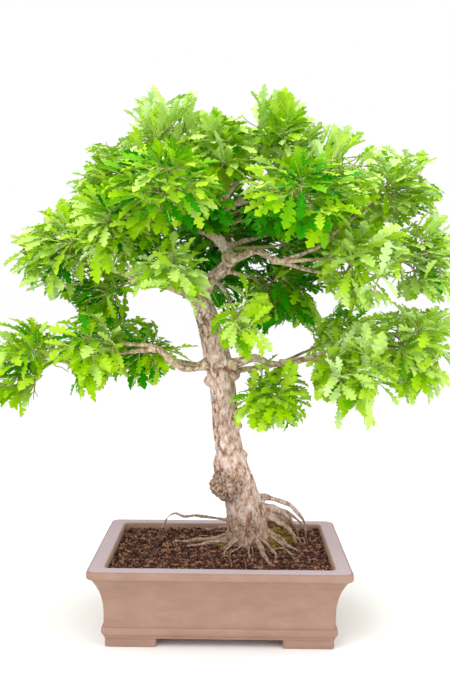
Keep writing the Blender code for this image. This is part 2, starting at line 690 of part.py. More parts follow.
class Mass:
    """Twigs that branch from one stem by a seeded rule, with a spray of leaves at each end."""

    def __init__(self, branch, cell, start, heading, start_radius, limbs):
        self.branch = branch
        self.cell = cell
        self.start = start
        self.heading = heading
        self.start_radius = start_radius
        self.limbs = limbs
        self.rng = random.Random(branch.name)
        self.nodes = []
        self.twigs = []
        self.solids = []
        self.pieces = bpy.data.collections.new("sprigs_" + branch.name)
        bpy.context.scene.collection.children.link(self.pieces)

    def is_clear(self, vertices, faces):
        """Whether a piece stays in the mass's space and off the limbs, twigs and leaves."""
        if not all(self.cell.holds(vertex) for vertex in vertices):
            return False
        tree = tree_of(vertices, faces)
        return not any(other.overlap(tree) for other in [*self.limbs, *self.solids])

    def is_twig_clear(self, line):
        """Whether a twig stays in the space and off the limbs."""
        if not all(self.cell.holds(point, TWIG_TIP_RADIUS * 2) for point in line[1:]):
            return False
        tree = tree_of(*tube_mesh(line, [TWIG_TIP_RADIUS * 2] * len(line), TWIG_SIDES))
        return not any(limb.overlap(tree) for limb in self.limbs)

    def grow_stem(self):
        """The stem, from just past the bough's tip towards the middle of the space."""
        turn_in = self.start + self.heading * 0.008
        for share in (0.75, 0.6, 0.45, 0.3, 0.15):
            goal = turn_in.lerp(self.cell.centre, share)
            for _ in range(8):
                line = [self.start, *bowed_line(turn_in, goal, self.rng, 2)]
                if self.is_twig_clear([line[0].lerp(line[1], 0.3), *line[1:]]):
                    self.add_twig(line, None)
                    return
        raise ValueError("no way in for the stem of " + self.branch.name)

    def add_twig(self, line, parent):
        """Record a twig and the points on it that others may leave from."""
        twig = {"line": line, "parent": parent, "load": 0}
        self.twigs.append(twig)
        for point in line[1:]:
            self.nodes.append((point, twig))
        while twig is not None:
            twig["load"] += 1
            twig = twig["parent"]

    def grow_twigs(self):
        """One twig for each spray, from the nearest point of those grown so far."""
        count = max(4, round(self.cell.volume() / SPRAY_VOLUME))
        for site in spread_sites(self.cell, self.start, count, self.rng):
            nearest = sorted(self.nodes, key=lambda node: (node[0] - site).length)
            for point, twig in nearest[:3]:
                line = bowed_line(point, site, self.rng, 2)
                if (site - point).length > LEAF_SPACING and self.is_twig_clear(line[1:]):
                    self.add_twig(line, twig)
                    break

    def radius_of(self, twig):
        """Radius of a twig at its root, from the number of sprays it carries."""
        return TWIG_TIP_RADIUS * (1 + twig["load"]) ** TWIG_BRANCHING_POWER

    def mesh_twigs(self):
        """Tubes of all twigs; the first is the stem, which the others are joined to."""
        tubes = []
        for index, twig in enumerate(self.twigs):
            first = self.start_radius if index == 0 else self.radius_of(twig)
            last = TWIG_TIP_RADIUS if index else self.radius_of(twig) * 0.8
            parts = len(twig["line"]) - 1
            radii = [first + (last - first) * part / parts for part in range(parts + 1)]
            tubes.append(tube_mesh(twig["line"], radii, TWIG_SIDES))
        return tubes

    def grow_spray(self, twig):
        """Leaves in a spiral round the end of a twig."""
        line = twig["line"]
        axis = (line[-1] - line[-2]).normalized()
        outward = (line[-1] - self.start).normalized()
        spin = self.rng.uniform(0, 2 * math.pi)
        for number in range(LEAVES_PER_SPRAY):
            root = line[-1] - axis * (LEAF_SPACING * number + TWIG_TIP_RADIUS)
            for attempt in range(9):
                lean = math.radians((22 if number == 0 else 62) + 4 * attempt)
                turn = Quaternion(axis, spin + GOLDEN_ANGLE * number + attempt * 0.7)
                way = turn @ (axis * math.cos(lean) + axis.orthogonal().normalized() * math.sin(lean))
                way = (way + outward * 0.35 - Vector((0, 0, 0.45 * self.branch.droop))).normalized()
                face_up = (Vector((0, -0.25, 1)) + outward * 0.6 + random_direction(self.rng) * 0.5)
                length = LEAF_LENGTH * self.rng.uniform(0.86, 1.08) * (1 - 0.04 * attempt)
                if self.is_clear(*leaf_mesh(root, way, face_up, length, start=0.07)):
                    mesh = leaf_mesh(root - way * LEAF_SINK, way, face_up, length)
                    make_object("leaf", *mesh, collection=self.pieces)
                    self.solids.append(tree_of(*mesh))
                    break

    def build(self):
        """Grow the mass and join it into one solid."""
        self.grow_stem()
        self.grow_twigs()
        tubes = self.mesh_twigs()
        self.solids = [tree_of(*tube) for tube in tubes]
        for twig in self.twigs:
            self.grow_spray(twig)
        leaf_count = len(self.pieces.objects)
        for tube in tubes[1:]:
            make_object("twig", *tube, collection=self.pieces)
        mass = make_object("leaves_" + self.branch.name, *tubes[0])
        apply_boolean(mass, "UNION", self.pieces)
        keep_main_shell(mass)
        set_finish(mass, LEAF_FINISH)
        return leaf_count


def main():
    """Build the whole plant."""
    clear_scene()
    build_pot()
    build_soil()
    line, radii = build_trunk()
    lines = {"trunk": line}
    bark = {"trunk": tube_mesh(line, radii, TRUNK_SIDES, GAP)}
    limbs = [tree_of(*tube_mesh(line, radii, TRUNK_SIDES, LIMB_MARGIN))]
    everyone = [*BRANCHES, LEADER]
    cells = {branch.name: Cell(branch, everyone) for branch in everyone}
    starts = {LEADER.name: (line[-1], headings_along(line)[-1], radii[-1])}
    for branch in BRANCHES:
        start = point_at(lines[branch.parent], branch.at)
        line = bough_line(branch, start, cells[branch.name])
        radii = bough_radii(branch, line)
        build_bough(branch, line, radii, bark[branch.parent])
        lines[branch.name] = line
        bark[branch.name] = tube_mesh(line, radii, bough_sides(branch), GAP)
        limbs.append(tree_of(*tube_mesh(line, radii, bough_sides(branch), LIMB_MARGIN)))
        starts[branch.name] = (line[-1], headings_along(line)[-1], radii[-1])
    total = 0
    for branch in everyone:
        tip, heading, radius = starts[branch.name]
        mass = Mass(branch, cells[branch.name], tip + heading * GAP, heading, radius, limbs)
        total += mass.build()
    print("leaves:", total)


main()
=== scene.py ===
"""Dresses the oak bonsai: clay pot, granular soil, relief bark, twigs and lobed leaves.

All in metres, +Z up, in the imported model's frame.  Limbs and leaf masses follow the named sizes and
the seeded growing rule of the solids they stand for, carried on to finer twigs and smaller leaves.
"""
import json
import logging
import math
import random
from dataclasses import dataclass, field
from enum import Enum

import bmesh
import bpy
import numpy as np
from mathutils import Matrix, Quaternion, Vector, noise
from mathutils.bvhtree import BVHTree

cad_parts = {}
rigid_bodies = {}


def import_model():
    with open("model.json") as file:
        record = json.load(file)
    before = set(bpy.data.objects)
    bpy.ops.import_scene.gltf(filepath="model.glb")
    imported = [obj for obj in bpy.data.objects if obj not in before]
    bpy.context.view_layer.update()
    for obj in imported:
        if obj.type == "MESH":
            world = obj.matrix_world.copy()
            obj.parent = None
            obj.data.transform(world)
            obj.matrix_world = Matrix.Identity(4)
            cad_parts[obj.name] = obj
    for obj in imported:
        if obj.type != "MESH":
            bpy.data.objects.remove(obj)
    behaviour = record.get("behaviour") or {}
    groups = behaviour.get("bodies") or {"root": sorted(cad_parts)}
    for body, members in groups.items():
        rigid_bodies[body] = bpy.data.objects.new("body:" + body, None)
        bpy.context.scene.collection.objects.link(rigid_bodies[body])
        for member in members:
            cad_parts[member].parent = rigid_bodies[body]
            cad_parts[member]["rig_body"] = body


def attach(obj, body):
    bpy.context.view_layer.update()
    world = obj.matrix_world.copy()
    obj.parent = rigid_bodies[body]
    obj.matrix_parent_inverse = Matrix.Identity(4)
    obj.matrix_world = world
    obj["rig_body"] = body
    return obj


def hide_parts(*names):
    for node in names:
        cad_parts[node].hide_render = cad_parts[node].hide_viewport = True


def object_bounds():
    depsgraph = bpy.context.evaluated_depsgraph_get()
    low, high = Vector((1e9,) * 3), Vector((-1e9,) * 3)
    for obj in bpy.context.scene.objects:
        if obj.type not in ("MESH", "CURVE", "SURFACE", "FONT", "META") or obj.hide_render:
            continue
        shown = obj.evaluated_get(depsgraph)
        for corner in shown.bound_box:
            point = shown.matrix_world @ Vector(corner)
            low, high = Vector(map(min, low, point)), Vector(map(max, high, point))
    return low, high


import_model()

CAD_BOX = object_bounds()
BODY = "root"
LOG = logging.getLogger("bonsai")
# Seed of the vector noise that bends the roots; Blender takes the time of day where none is set.
NOISE_SEED = 1795457964

Line = list[Vector]
Faces = list[tuple[int, ...]]
Rgb = tuple[int, int, int]
Triple = tuple[float, float, float]


# ---------------------------------------------------------------- finishes

class LeafTint(Enum):
    """The greens of the crown, from the palest to the deepest (sRGB 0-255); a leaf gets its green by its
    place in the crown as painted light and shade, and partly by chance.
    """
    PALE = (208, 236, 158)
    FRESH = (194, 228, 110)
    BRIGHT = (178, 218, 48)
    MID = (156, 206, 8)
    DEEP = (112, 182, 0)
    SHADE = (50, 154, 0)


def linear_rgb(colour: Rgb) -> tuple[float, ...]:
    """The linear RGBA that a shader takes for an sRGB colour (0-255)."""
    shares = [channel / 255.0 for channel in colour]
    return (*(share / 12.92 if share <= 0.04045 else ((share + 0.055) / 1.055) ** 2.4
              for share in shares), 1.0)


def wire(tree: bpy.types.NodeTree, kind: str, inputs: dict | None = None, **settings) -> bpy.types.Node:
    """Add a node to a tree.

    Args:
        tree: The node tree.
        kind: The node's type.
        inputs: For each input, by name or number, its value or the output linked to it.
        settings: The node's own properties, set first.

    Returns:
        The node.
    """
    node = tree.nodes.new(kind)
    for name, value in settings.items():
        setattr(node, name, value)
    for key, value in (inputs or {}).items():
        if isinstance(value, bpy.types.NodeSocket):
            tree.links.new(value, node.inputs[key])
        else:
            node.inputs[key].default_value = value
    return node


def blend(tree: bpy.types.NodeTree, amount: bpy.types.NodeSocket, low: object,
          high: object) -> bpy.types.NodeSocket:
    """Mix two colours or colour outputs by an amount."""
    return wire(tree, "ShaderNodeMix", {"Factor": amount, "A": low, "B": high},
                data_type="RGBA").outputs["Result"]


@dataclass(frozen=True)
class Finish:
    """A procedural surface on Object coordinates: a colour pattern, a roughness and a bump."""
    name: str
    colours: tuple[tuple[float, Rgb], ...]
    roughness: float
    pattern_scale: float = 1.0
    pattern_detail: float = 6.0
    stretch: Triple = (1.0, 1.0, 1.0)
    bump_scale: float = 900.0
    bump_strength: float = 0.3
    bump_distance: float = 0.0005
    specular: float = 0.3
    # The relief colour is mixed in where the stored relief is low: darker cracks, partly their own colour and
    # partly painted shade, and painted shade in the burl's hollows.
    relief_colour: Rgb | None = None
    # The top colour and where it starts are painted light: a paler colour mixed onto faces that point up.
    painted_top_light_colour: Rgb | None = None
    bump_detail: float = 3.0
    pattern_roughness: float = 0.62
    painted_top_light_from: float = 0.97

    def build(self) -> bpy.types.Material:
        """Build the material."""
        material = bpy.data.materials.new(self.name)
        material.use_nodes = True
        tree = material.node_tree
        shader = tree.nodes["Principled BSDF"]
        shader.inputs["Roughness"].default_value = self.roughness
        shader.inputs["Specular IOR Level"].default_value = self.specular
        place = wire(tree, "ShaderNodeTexCoord").outputs["Object"]
        place = wire(tree, "ShaderNodeMapping", {"Vector": place, "Scale": self.stretch}).outputs["Vector"]
        if len(self.colours) == 1:
            shader.inputs["Base Color"].default_value = linear_rgb(self.colours[0][1])
        else:
            tree.links.new(self.add_colour(tree, place), shader.inputs["Base Color"])
        grain = wire(tree, "ShaderNodeTexNoise",
                     {"Vector": place, "Scale": self.bump_scale, "Detail": self.bump_detail})
        bump = wire(tree, "ShaderNodeBump", {"Height": grain.outputs["Fac"], "Strength": self.bump_strength,
                                             "Distance": self.bump_distance})
        tree.links.new(bump.outputs["Normal"], shader.inputs["Normal"])
        return material

    def add_colour(self, tree: bpy.types.NodeTree, place: bpy.types.NodeSocket) -> bpy.types.NodeSocket:
        """Add the noise's colour ramp, dark where `relief` is low and paler on faces that point up, as
        painted light on the top.
        """
        pattern = wire(tree, "ShaderNodeTexNoise",
                       {"Vector": place, "Scale": self.pattern_scale, "Detail": self.pattern_detail,
                        "Roughness": self.pattern_roughness})
        ramp = wire(tree, "ShaderNodeValToRGB", {"Fac": pattern.outputs["Fac"]})
        elements = ramp.color_ramp.elements
        while len(elements) < len(self.colours):
            elements.new(0.5)
        for element, (position, tone) in zip(elements, self.colours):
            element.position = position
            element.color = linear_rgb(tone)
        colour = ramp.outputs["Color"]
        # Darker where the stored relief is low: cracks partly their own colour and partly painted shade; the
        # burl's folds, pits and hole are painted shade.
        if self.relief_colour:
            relief = wire(tree, "ShaderNodeAttribute", attribute_name="relief")
            colour = blend(tree, relief.outputs["Fac"], linear_rgb(self.relief_colour), colour)
        # Painted light: faces that point up are mixed towards a paler top colour.
        if self.painted_top_light_colour:
            facing = wire(tree, "ShaderNodeNewGeometry").outputs["Normal"]
            upward = wire(tree, "ShaderNodeSeparateXYZ", {"Vector": facing}).outputs["Z"]
            amount = wire(tree, "ShaderNodeMapRange",
                          {"Value": upward, "From Min": self.painted_top_light_from, "From Max": 1.0})
            colour = blend(tree, amount.outputs["Result"], colour, linear_rgb(self.painted_top_light_colour))
        return colour


# The clay's pale lilac top is painted light: faces that point straight up are mixed towards it.
CLAY = Finish("unglazed_clay", ((0.30, (153, 122, 107)), (0.50, (161, 129, 113)), (0.70, (168, 137, 122))),
              0.8, 26.0, 9.0, (1.0, 1.0, 2.6), 700.0, 0.30, 0.0004, painted_top_light_colour=(196, 174, 184))
SOIL = Finish("damp_soil", ((0.35, (40, 22, 20)), (0.55, (74, 45, 38)), (0.72, (112, 78, 60))),
              0.95, 260.0, bump_strength=0.8, bump_distance=0.001, specular=0.2)
GRAIN_DARK = Finish("dark_granules", ((0.38, (26, 13, 18)), (0.51, (84, 50, 46)), (0.63, (172, 124, 94))),
                    0.92, 95.0, 6.0, bump_scale=1500.0, bump_strength=0.5, bump_distance=0.0004, specular=0.2)
GRAIN_TAN = Finish("tan_granules", ((0.30, (122, 84, 62)), (0.55, (158, 116, 88)), (0.75, (196, 158, 130))),
                   0.9, 200.0, 3.0, bump_scale=1500.0, bump_strength=0.5, bump_distance=0.0004, specular=0.2)
# Both barks' relief colours darken the cracks, partly their own colour and partly painted shade; on the trunk
# they also darken the burl's hollows, as painted shade.
BARK = Finish("oak_bark", ((0.34, (150, 114, 98)), (0.46, (224, 190, 174)), (0.60, (250, 230, 224))),
              0.92, 130.0, 9.0, (1.0, 1.0, 0.5), 620.0, 0.8, 0.0012, 0.15, relief_colour=(114, 84, 50))
BOUGH_BARK = Finish("bough_bark", ((0.34, (164, 132, 104)), (0.47, (220, 192, 162)), (0.60, (244, 226, 202))),
                    0.9, 150.0, 7.0, bump_scale=800.0, bump_strength=0.7, bump_distance=0.0008, specular=0.15,
                    relief_colour=(116, 84, 68))
TWIG_BARK = Finish("twig_bark", ((0.35, (150, 124, 84)), (0.55, (176, 158, 104)), (0.70, (168, 178, 96))),
                   0.75, 90.0, 3.0, bump_scale=1200.0, bump_distance=0.0003)
RIB = Finish("leaf_rib", ((0.30, (176, 208, 96)), (0.60, (206, 228, 140))), 0.6, 60.0, 2.0,
             bump_scale=1200.0, bump_strength=0.1, bump_distance=0.0002)
MOSS = Finish("moss", ((0.32, (88, 66, 36)), (0.50, (140, 114, 54)), (0.68, (178, 152, 94))),
              0.95, 300.0, 4.0, bump_scale=1400.0, bump_strength=0.8, bump_distance=0.0008, specular=0.1)
FLOOR = Finish("studio_floor", ((0.2, (254, 254, 254)), (0.8, (255, 255, 255))), 0.9, 2.0, 1.0,
               bump_scale=4.0, bump_strength=0.0, bump_distance=0.0001, specular=0.1)


def leaf_finish(tint: LeafTint, is_back: bool) -> Finish:
    """A leaf's plain green with a fine grain of veins, or the paler, duller green of its back."""
    name, roughness, colour = "leaf_", 0.5, tint.value
    if is_back:
        red, green, blue = colour
        name, roughness = "leaf_back_", 0.7
        colour = (round(red * 0.86 + 12), round(green * 0.86 + 18), round(blue * 0.70 + 12))
    return Finish(name + tint.name.lower(), ((0.0, colour),), roughness, bump_scale=420.0,
                  bump_strength=0.22, bump_distance=0.0006, specular=0.06, bump_detail=2.0)


# ---------------------------------------------------------------- mesh helpers

def add_object(name: str, mesh: bpy.types.Mesh) -> bpy.types.Object:
    """Link a mesh to the scene as an object."""
    obj = bpy.data.objects.new(name, mesh)
    bpy.context.scene.collection.objects.link(obj)
    return obj


def shape_object(name: str, shape: bmesh.types.BMesh) -> bpy.types.Object:
    """Turn a finished shape into an object and free it."""
    mesh = bpy.data.meshes.new(name)
    shape.to_mesh(mesh)
    shape.free()
    return add_object(name, mesh)


def evaluated_mesh(obj: bpy.types.Object) -> bpy.types.Mesh:
    """The object's mesh with its modifiers applied."""
    bpy.context.view_layer.update()
    return bpy.data.meshes.new_from_object(obj.evaluated_get(bpy.context.evaluated_depsgraph_get()))


def as_rows(points: Line) -> np.ndarray:
    """Points as an array with one row each."""
    return np.array([tuple(point) for point in points])


def metres(millimetres: tuple[float, ...]) -> Vector:
    """A place given in millimetres."""
    return Vector(millimetres) / 1000


def tube_quads(rings: int, sides: int) -> Faces:
    """Side faces of a tube of that many rings."""
    pairs = [(ring * sides + side, ring * sides + (side + 1) % sides)
             for ring in range(rings - 1) for side in range(sides)]
    return [(low, following, following + sides, low + sides) for low, following in pairs]


def tube_caps(rings: int, sides: int) -> Faces:
    """End faces of a tube as fans of triangles."""
    top = (rings - 1) * sides
    return ([(0, side + 1, side) for side in range(1, sides - 1)]
            + [(top, top + side, top + side + 1) for side in range(1, sides - 1)])


def ring_spokes(across: tuple[Vector, Vector], sides: int) -> Line:
    """Unit vectors from a ring's middle to its corners."""
    first, second = across
    return [first * math.cos(angle) + second * math.sin(angle)
            for angle in (math.tau * side / sides for side in range(sides))]


@dataclass
class MeshStore:
    """Vertices and faces gathered for one joined mesh, as arrays."""
    points: list[np.ndarray] = field(default_factory=list)
    quads: list[np.ndarray] = field(default_factory=list)
    triangles: list[np.ndarray] = field(default_factory=list)
    relief: list[np.ndarray] = field(default_factory=list)
    marks: list[np.ndarray] = field(default_factory=list)
    count: int = 0

    def add(self, points: np.ndarray, quads: np.ndarray, triangles: np.ndarray | None = None,
            relief: np.ndarray | None = None, marks: np.ndarray | None = None) -> None:
        """Add one shape.

        Args:
            points: Its vertices, one row each.
            quads: Four-sided faces as rows of vertex numbers.
            triangles: Three-sided faces, if it has any.
            relief: One value for each vertex, if the finish reads one.
            marks: Material number of each four-sided face, if the piece has more than one.
        """
        self.points.append(points)
        self.quads.append(np.asarray(quads, dtype=np.int64).reshape(-1, 4) + self.count)
        if triangles is not None:
            self.triangles.append(np.asarray(triangles, dtype=np.int64).reshape(-1, 3) + self.count)
        if relief is not None:
            self.relief.append(relief)
        if marks is not None:
            self.marks.append(marks)
        self.count += len(points)

    def add_tube(self, points: Line, sides: int, relief: list[float] | None = None) -> None:
        """Add a tube whose vertices are known, ring by ring."""
        rings = len(points) // sides
        self.add(as_rows(points), tube_quads(rings, sides), tube_caps(rings, sides),
                 None if relief is None else np.array(relief))

    def to_object(self, name: str, smooth_angle: float = 50.0) -> bpy.types.Object:
        """Join everything into one object, with edges sharper than `smooth_angle` degrees kept sharp."""
        points, quads = np.concatenate(self.points), np.concatenate(self.quads)
        triangles = np.concatenate(self.triangles) if self.triangles else np.zeros((0, 3), np.int64)
        corners = np.concatenate([quads.ravel(), triangles.ravel()])
        starts = np.concatenate([np.arange(len(quads)) * 4,
                                 len(quads) * 4 + np.arange(len(triangles)) * 3])
        mesh = bpy.data.meshes.new(name)
        mesh.vertices.add(len(points))
        mesh.vertices.foreach_set("co", points.astype(np.float32).ravel())
        mesh.loops.add(len(corners))
        mesh.loops.foreach_set("vertex_index", corners.astype(np.int32))
        mesh.polygons.add(len(starts))
        mesh.polygons.foreach_set("loop_start", starts.astype(np.int32))
        if self.marks:
            mesh.polygons.foreach_set("material_index", np.concatenate(self.marks).astype(np.int32))
        mesh.update(calc_edges=True)
        mesh.validate()
        if self.relief:
            store_relief(mesh, np.concatenate(self.relief))
        mesh.shade_smooth()
        mesh.set_sharp_from_angle(angle=math.radians(smooth_angle))
        return add_object(name, mesh)


def store_relief(mesh: bpy.types.Mesh, relief: np.ndarray) -> None:
    """Store the bark's relief, one value for each vertex, for its finish."""
    layer = mesh.attributes.new("relief", "FLOAT", "POINT")
    layer.data.foreach_set("value", relief.astype(np.float32))


def dress(obj: bpy.types.Object, slot: str, nodes: tuple[str, ...], *finishes: Finish) -> None:
    """Give a finished piece its surfaces and its body, hide the solids it stands for, and log it.

    Args:
        obj: The piece.
        slot: The record's material slot; not used.
        nodes: The solids it stands for.
        finishes: Its surfaces, in the order of its material numbers.
    """
    obj.data.materials.clear()
    for finish in finishes:
        obj.data.materials.append(bpy.data.materials.get(finish.name) or finish.build())
    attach(obj, BODY)
    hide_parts(*nodes)
    LOG.info("%s: %d faces", obj.name, len(obj.data.polygons))


def smooth_line(points: Line, step: float) -> Line:
    """Walk a Catmull-Rom curve through points of any size, in spans of about `step`."""
    ends = [points[0] * 2 - points[1], *points, points[-1] * 2 - points[-2]]
    line = []
    for index in range(len(points) - 1):
        before, start, end, after = ends[index:index + 4]
        count = max(1, round((end - start).length / step))
        for part in range(count):
            t = part / count
            line.append(0.5 * (2 * start + (end - before) * t
                               + (2 * before - 5 * start + 4 * end - after) * t ** 2
                               + (3 * start - before - 3 * end + after) * t ** 3))
    line.append(points[-1].copy())
    return line


def lengths_along(line: Line) -> list[float]:
    """Running length at each point of a line."""
    lengths = [0.0]
    for before, point in zip(line, line[1:]):
        lengths.append(lengths[-1] + (point - before).length)
    return lengths


def point_at(line: Line, fraction: float) -> Vector:
    """Point at a fraction of a line's length."""
    lengths = lengths_along(line)
    target = fraction * lengths[-1]
    for index in range(1, len(line)):
        if lengths[index] >= target:
            share = (target - lengths[index - 1]) / (lengths[index] - lengths[index - 1])
            return line[index - 1].lerp(line[index], share)
    return line[-1].copy()


def headings_along(line: Line) -> Line:
    """Unit heading at each point of a line."""
    last = len(line) - 1
    return [(line[min(index + 1, last)] - line[max(index - 1, 0)]).normalized()
            for index in range(len(line))]


def ring_frames(line: Line) -> list[tuple[Vector, Vector]]:
    """Two unit vectors across a line at each point, carried along without twist."""
    headings = headings_along(line)
    across = headings[0].orthogonal().normalized()
    frames = []
    for index, heading in enumerate(headings):
        if index:
            across = headings[index - 1].rotation_difference(heading) @ across
        frames.append((across.copy(), heading.cross(across)))
    return frames


def tube_mesh(line: Line, radii: list[float], sides: int, extra: float = 0.0) -> tuple[Line, Faces]:
    """Vertices and faces of a capped tube round a line, `extra` wider than its radii."""
    vertices = [point + spoke * (radius + extra)
                for point, across, radius in zip(line, ring_frames(line), radii)
                for spoke in ring_spokes(across, sides)]
    caps = [tuple(range(sides))[::-1], tuple(range(len(vertices) - sides, len(vertices)))]
    return vertices, caps + tube_quads(len(line), sides)


def tree_of(vertices: Line, faces: Faces) -> BVHTree:
    """Search tree of a mesh, for overlap tests."""
    return BVHTree.FromPolygons([tuple(vertex) for vertex in vertices], faces)


def random_direction(rng: random.Random) -> Vector:
    """Unit vector with an even spread over the sphere."""
    height = rng.uniform(-1, 1)
    angle = rng.uniform(0, 2 * math.pi)
    level = math.sqrt(1 - height * height)
    return Vector((level * math.cos(angle), level * math.sin(angle), height))


def smooth_step(value: float, low: float, high: float) -> float:
    """Ease from 0 at `low` to 1 at `high`."""
    share = min(max((value - low) / (high - low), 0.0), 1.0)
    return share * share * (3 - 2 * share)


# ---------------------------------------------------------------- the plant's own sizes

SOIL_TOP = 0.103
# Middle of the trunk from below the soil to the leader's tip, and its radius, in millimetres.
TRUNK_LINE_MM = (
    (44, 40, 90, 39), (41, 38, 118, 33), (36, 35, 150, 30), (23, 28, 203, 24), (8, 22, 258, 20.5), (1, 17,
    335, 19.5), (-7, 13, 380, 20), (-18, 10, 425, 17.5), (-28, 6, 460, 16), (-31, 4, 480, 13), (-18, 0,
    501, 10), (2, -2, 521, 9.2), (8, 0, 536, 8.6), (0, 6, 552, 8), (-13, 12, 568, 7.5), (-16, 16, 586,
    6.5), (-7, 14, 608, 5.5), (3, 10, 630, 4.5), (0, 4, 655, 3.5),
)
# Bearing from +X in degrees, height above the soil at the trunk, reach, roundness, radius.
ROOTS = (
    (174, 0.052, 0.145, 1.6, 0.0036), (142, 0.03, 0.094, 1.0, 0.0045), (182, 0.017, 0.118, 0.8, 0.006),
    (197, 0.01, 0.1, 0.9, 0.0055), (226, 0.016, 0.06, 1.0, 0.007), (268, 0.014, 0.085, 0.9, 0.0035), (283,
    0.02, 0.118, 0.8, 0.006), (298, 0.026, 0.078, 1.0, 0.006), (326, 0.028, 0.082, 1.0, 0.0055), (5, 0.07,
    0.088, 2.2, 0.0048), (22, 0.056, 0.094, 1.8, 0.0042), (344, 0.044, 0.08, 1.6, 0.0045), (48, 0.04,
    0.082, 1.3, 0.006), (78, 0.024, 0.058, 1.0, 0.007), (112, 0.026, 0.062, 1.0, 0.0065),
)
GOLDEN_ANGLE = math.radians(137.5)
NO_STRETCH = (1.0, 1.0, 1.0)


@dataclass(frozen=True)
class Branch:
    """A bough that leaves `parent` at the fraction `at`, and the mass at its tip (places in mm)."""
    name: str
    parent: str
    at: float
    radius: float
    via: tuple[Triple, ...]
    centre: Triple
    radii: Triple
    droop: float

    @property
    def mass_node(self) -> str:
        """Name of the leaf mass's solid."""
        return "leaves_" + self.name

    @property
    def bough_node(self) -> str:
        """Name of the bough's solid."""
        return "bough_" + self.name


BRANCHES = tuple(Branch(*row) for row in (
    ("lower_right_inner", "trunk", 0.345, 0.0048, ((28, 2, 313),), (70, -30, 334), (66, 70, 66), 0.6),
    ("lower_right", "trunk", 0.472, 0.0095, ((36, 0, 385), (57, -10, 388), (76, -18, 378), (100, -25,
     383), (138, -34, 388)), (187, -40, 368), (74, 92, 86), 0.5),
    ("lower_right_tip", "lower_right", 0.72, 0.0032, ((150, -12, 398), (189, 0, 416)), (276, 0, 404), (74,
     94, 84), 0.4),
    ("lower_right_back", "trunk", 0.455, 0.006, ((30, 55, 365), (90, 100, 372)), (190, 160, 415), (82, 82,
     68), 0.4),
    ("lower_left", "trunk", 0.493, 0.0083, ((-39, 0, 374), (-59, -10, 373), (-76, -20, 386), (-93, -28,
     402), (-112, -34, 409), (-140, -40, 408)), (-190, -50, 392), (62, 82, 78), 0.6),
    ("lower_left_inner", "lower_left", 0.55, 0.0035, ((-96, -8, 402),), (-115, 20, 392), (56, 62, 66),
     0.2),
    ("lower_left_tip", "lower_left", 0.72, 0.0037, ((-137, -20, 396), (-179, -6, 389)), (-286, -10, 374),
     (70, 80, 84), 0.5),
    ("lower_left_back", "trunk", 0.475, 0.006, ((-45, 60, 372), (-100, 110, 380)), (-190, 160, 405), (82,
     82, 66), 0.4),
    ("front", "trunk", 0.635, 0.0053, ((-34, -35, 484),), (-70, -130, 511), (56, 68, 54), 0.4),
    ("front_hanging", "trunk", 0.688, 0.0044, ((-6, -35, 497),), (24, -90, 444), (40, 58, 62), 0.8),
    ("upper_left", "trunk", 0.639, 0.0073, ((-63, -6, 485), (-101, -18, 495), (-129, -24, 502), (-153,
     -28, 513)), (-246, 0, 546), (82, 112, 78), 0.1),
    ("left_under", "upper_left", 0.5, 0.0034, ((-136, 0, 496),), (-188, 50, 480), (74, 92, 60), 0.5),
    ("left_front", "upper_left", 0.62, 0.0034, ((-137, -45, 525),), (-146, -92, 578), (68, 94, 74), 0.2),
    ("right_back_low", "trunk", 0.73, 0.005, ((24, 30, 511),), (96, 100, 484), (84, 100, 74), 0.5),
    ("upper_right", "trunk", 0.77, 0.0073, ((28, -20, 536), (46, -33, 543), (62, -42, 535), (82, -48,
     526), (110, -51, 531)), (193, -60, 525), (74, 108, 70), 0.3),
    ("right_tip", "upper_right", 0.6, 0.0034, ((136, -20, 514), (189, 10, 515)), (290, 0, 532), (62, 98,
     80), 0.1),
    ("right_shoulder", "upper_right", 0.72, 0.0032, ((135, -30, 549), (165, -5, 575)), (247, 20, 638),
     (80, 100, 76), 0.0),
    ("back", "trunk", 0.776, 0.005, ((9, 45, 551),), (10, 125, 585), (100, 90, 92), 0.2),
    ("right_back", "trunk", 0.803, 0.0046, ((47, 70, 566),), (175, 180, 600), (94, 90, 84), 0.2),
    ("left_back", "trunk", 0.822, 0.0046, ((-49, 70, 578),), (-176, 180, 604), (90, 90, 84), 0.1),
    ("top_left", "trunk", 0.853, 0.0062, ((-29, 14, 598), (-47, 14, 630)), (-80, 20, 709), (74, 114, 84),
     -0.2),
    ("left_high", "top_left", 0.25, 0.0041, ((-64, 6, 617),), (-158, 0, 656), (72, 118, 68), 0.0),
    ("front_left_high", "top_left", 0.58, 0.0036, ((-52, -40, 622),), (-75, -172, 624), (64, 94, 60),
     0.0),
    ("right_high", "trunk", 0.898, 0.0047, ((25, 4, 616), (64, -6, 632)), (154, -20, 638), (72, 120, 88),
     -0.1),
    ("front_right_high", "right_high", 0.36, 0.0034, ((58, -50, 616),), (101, -172, 612), (64, 94, 60),
     0.1),
    ("top_right", "trunk", 0.945, 0.0041, ((17, 4, 641), (38, -4, 642)), (80, 0, 704), (70, 114, 82),
     -0.2),
    ("top_back", "trunk", 0.96, 0.0036, ((4, 50, 655),), (0, 140, 706), (82, 90, 78), -0.1),
))
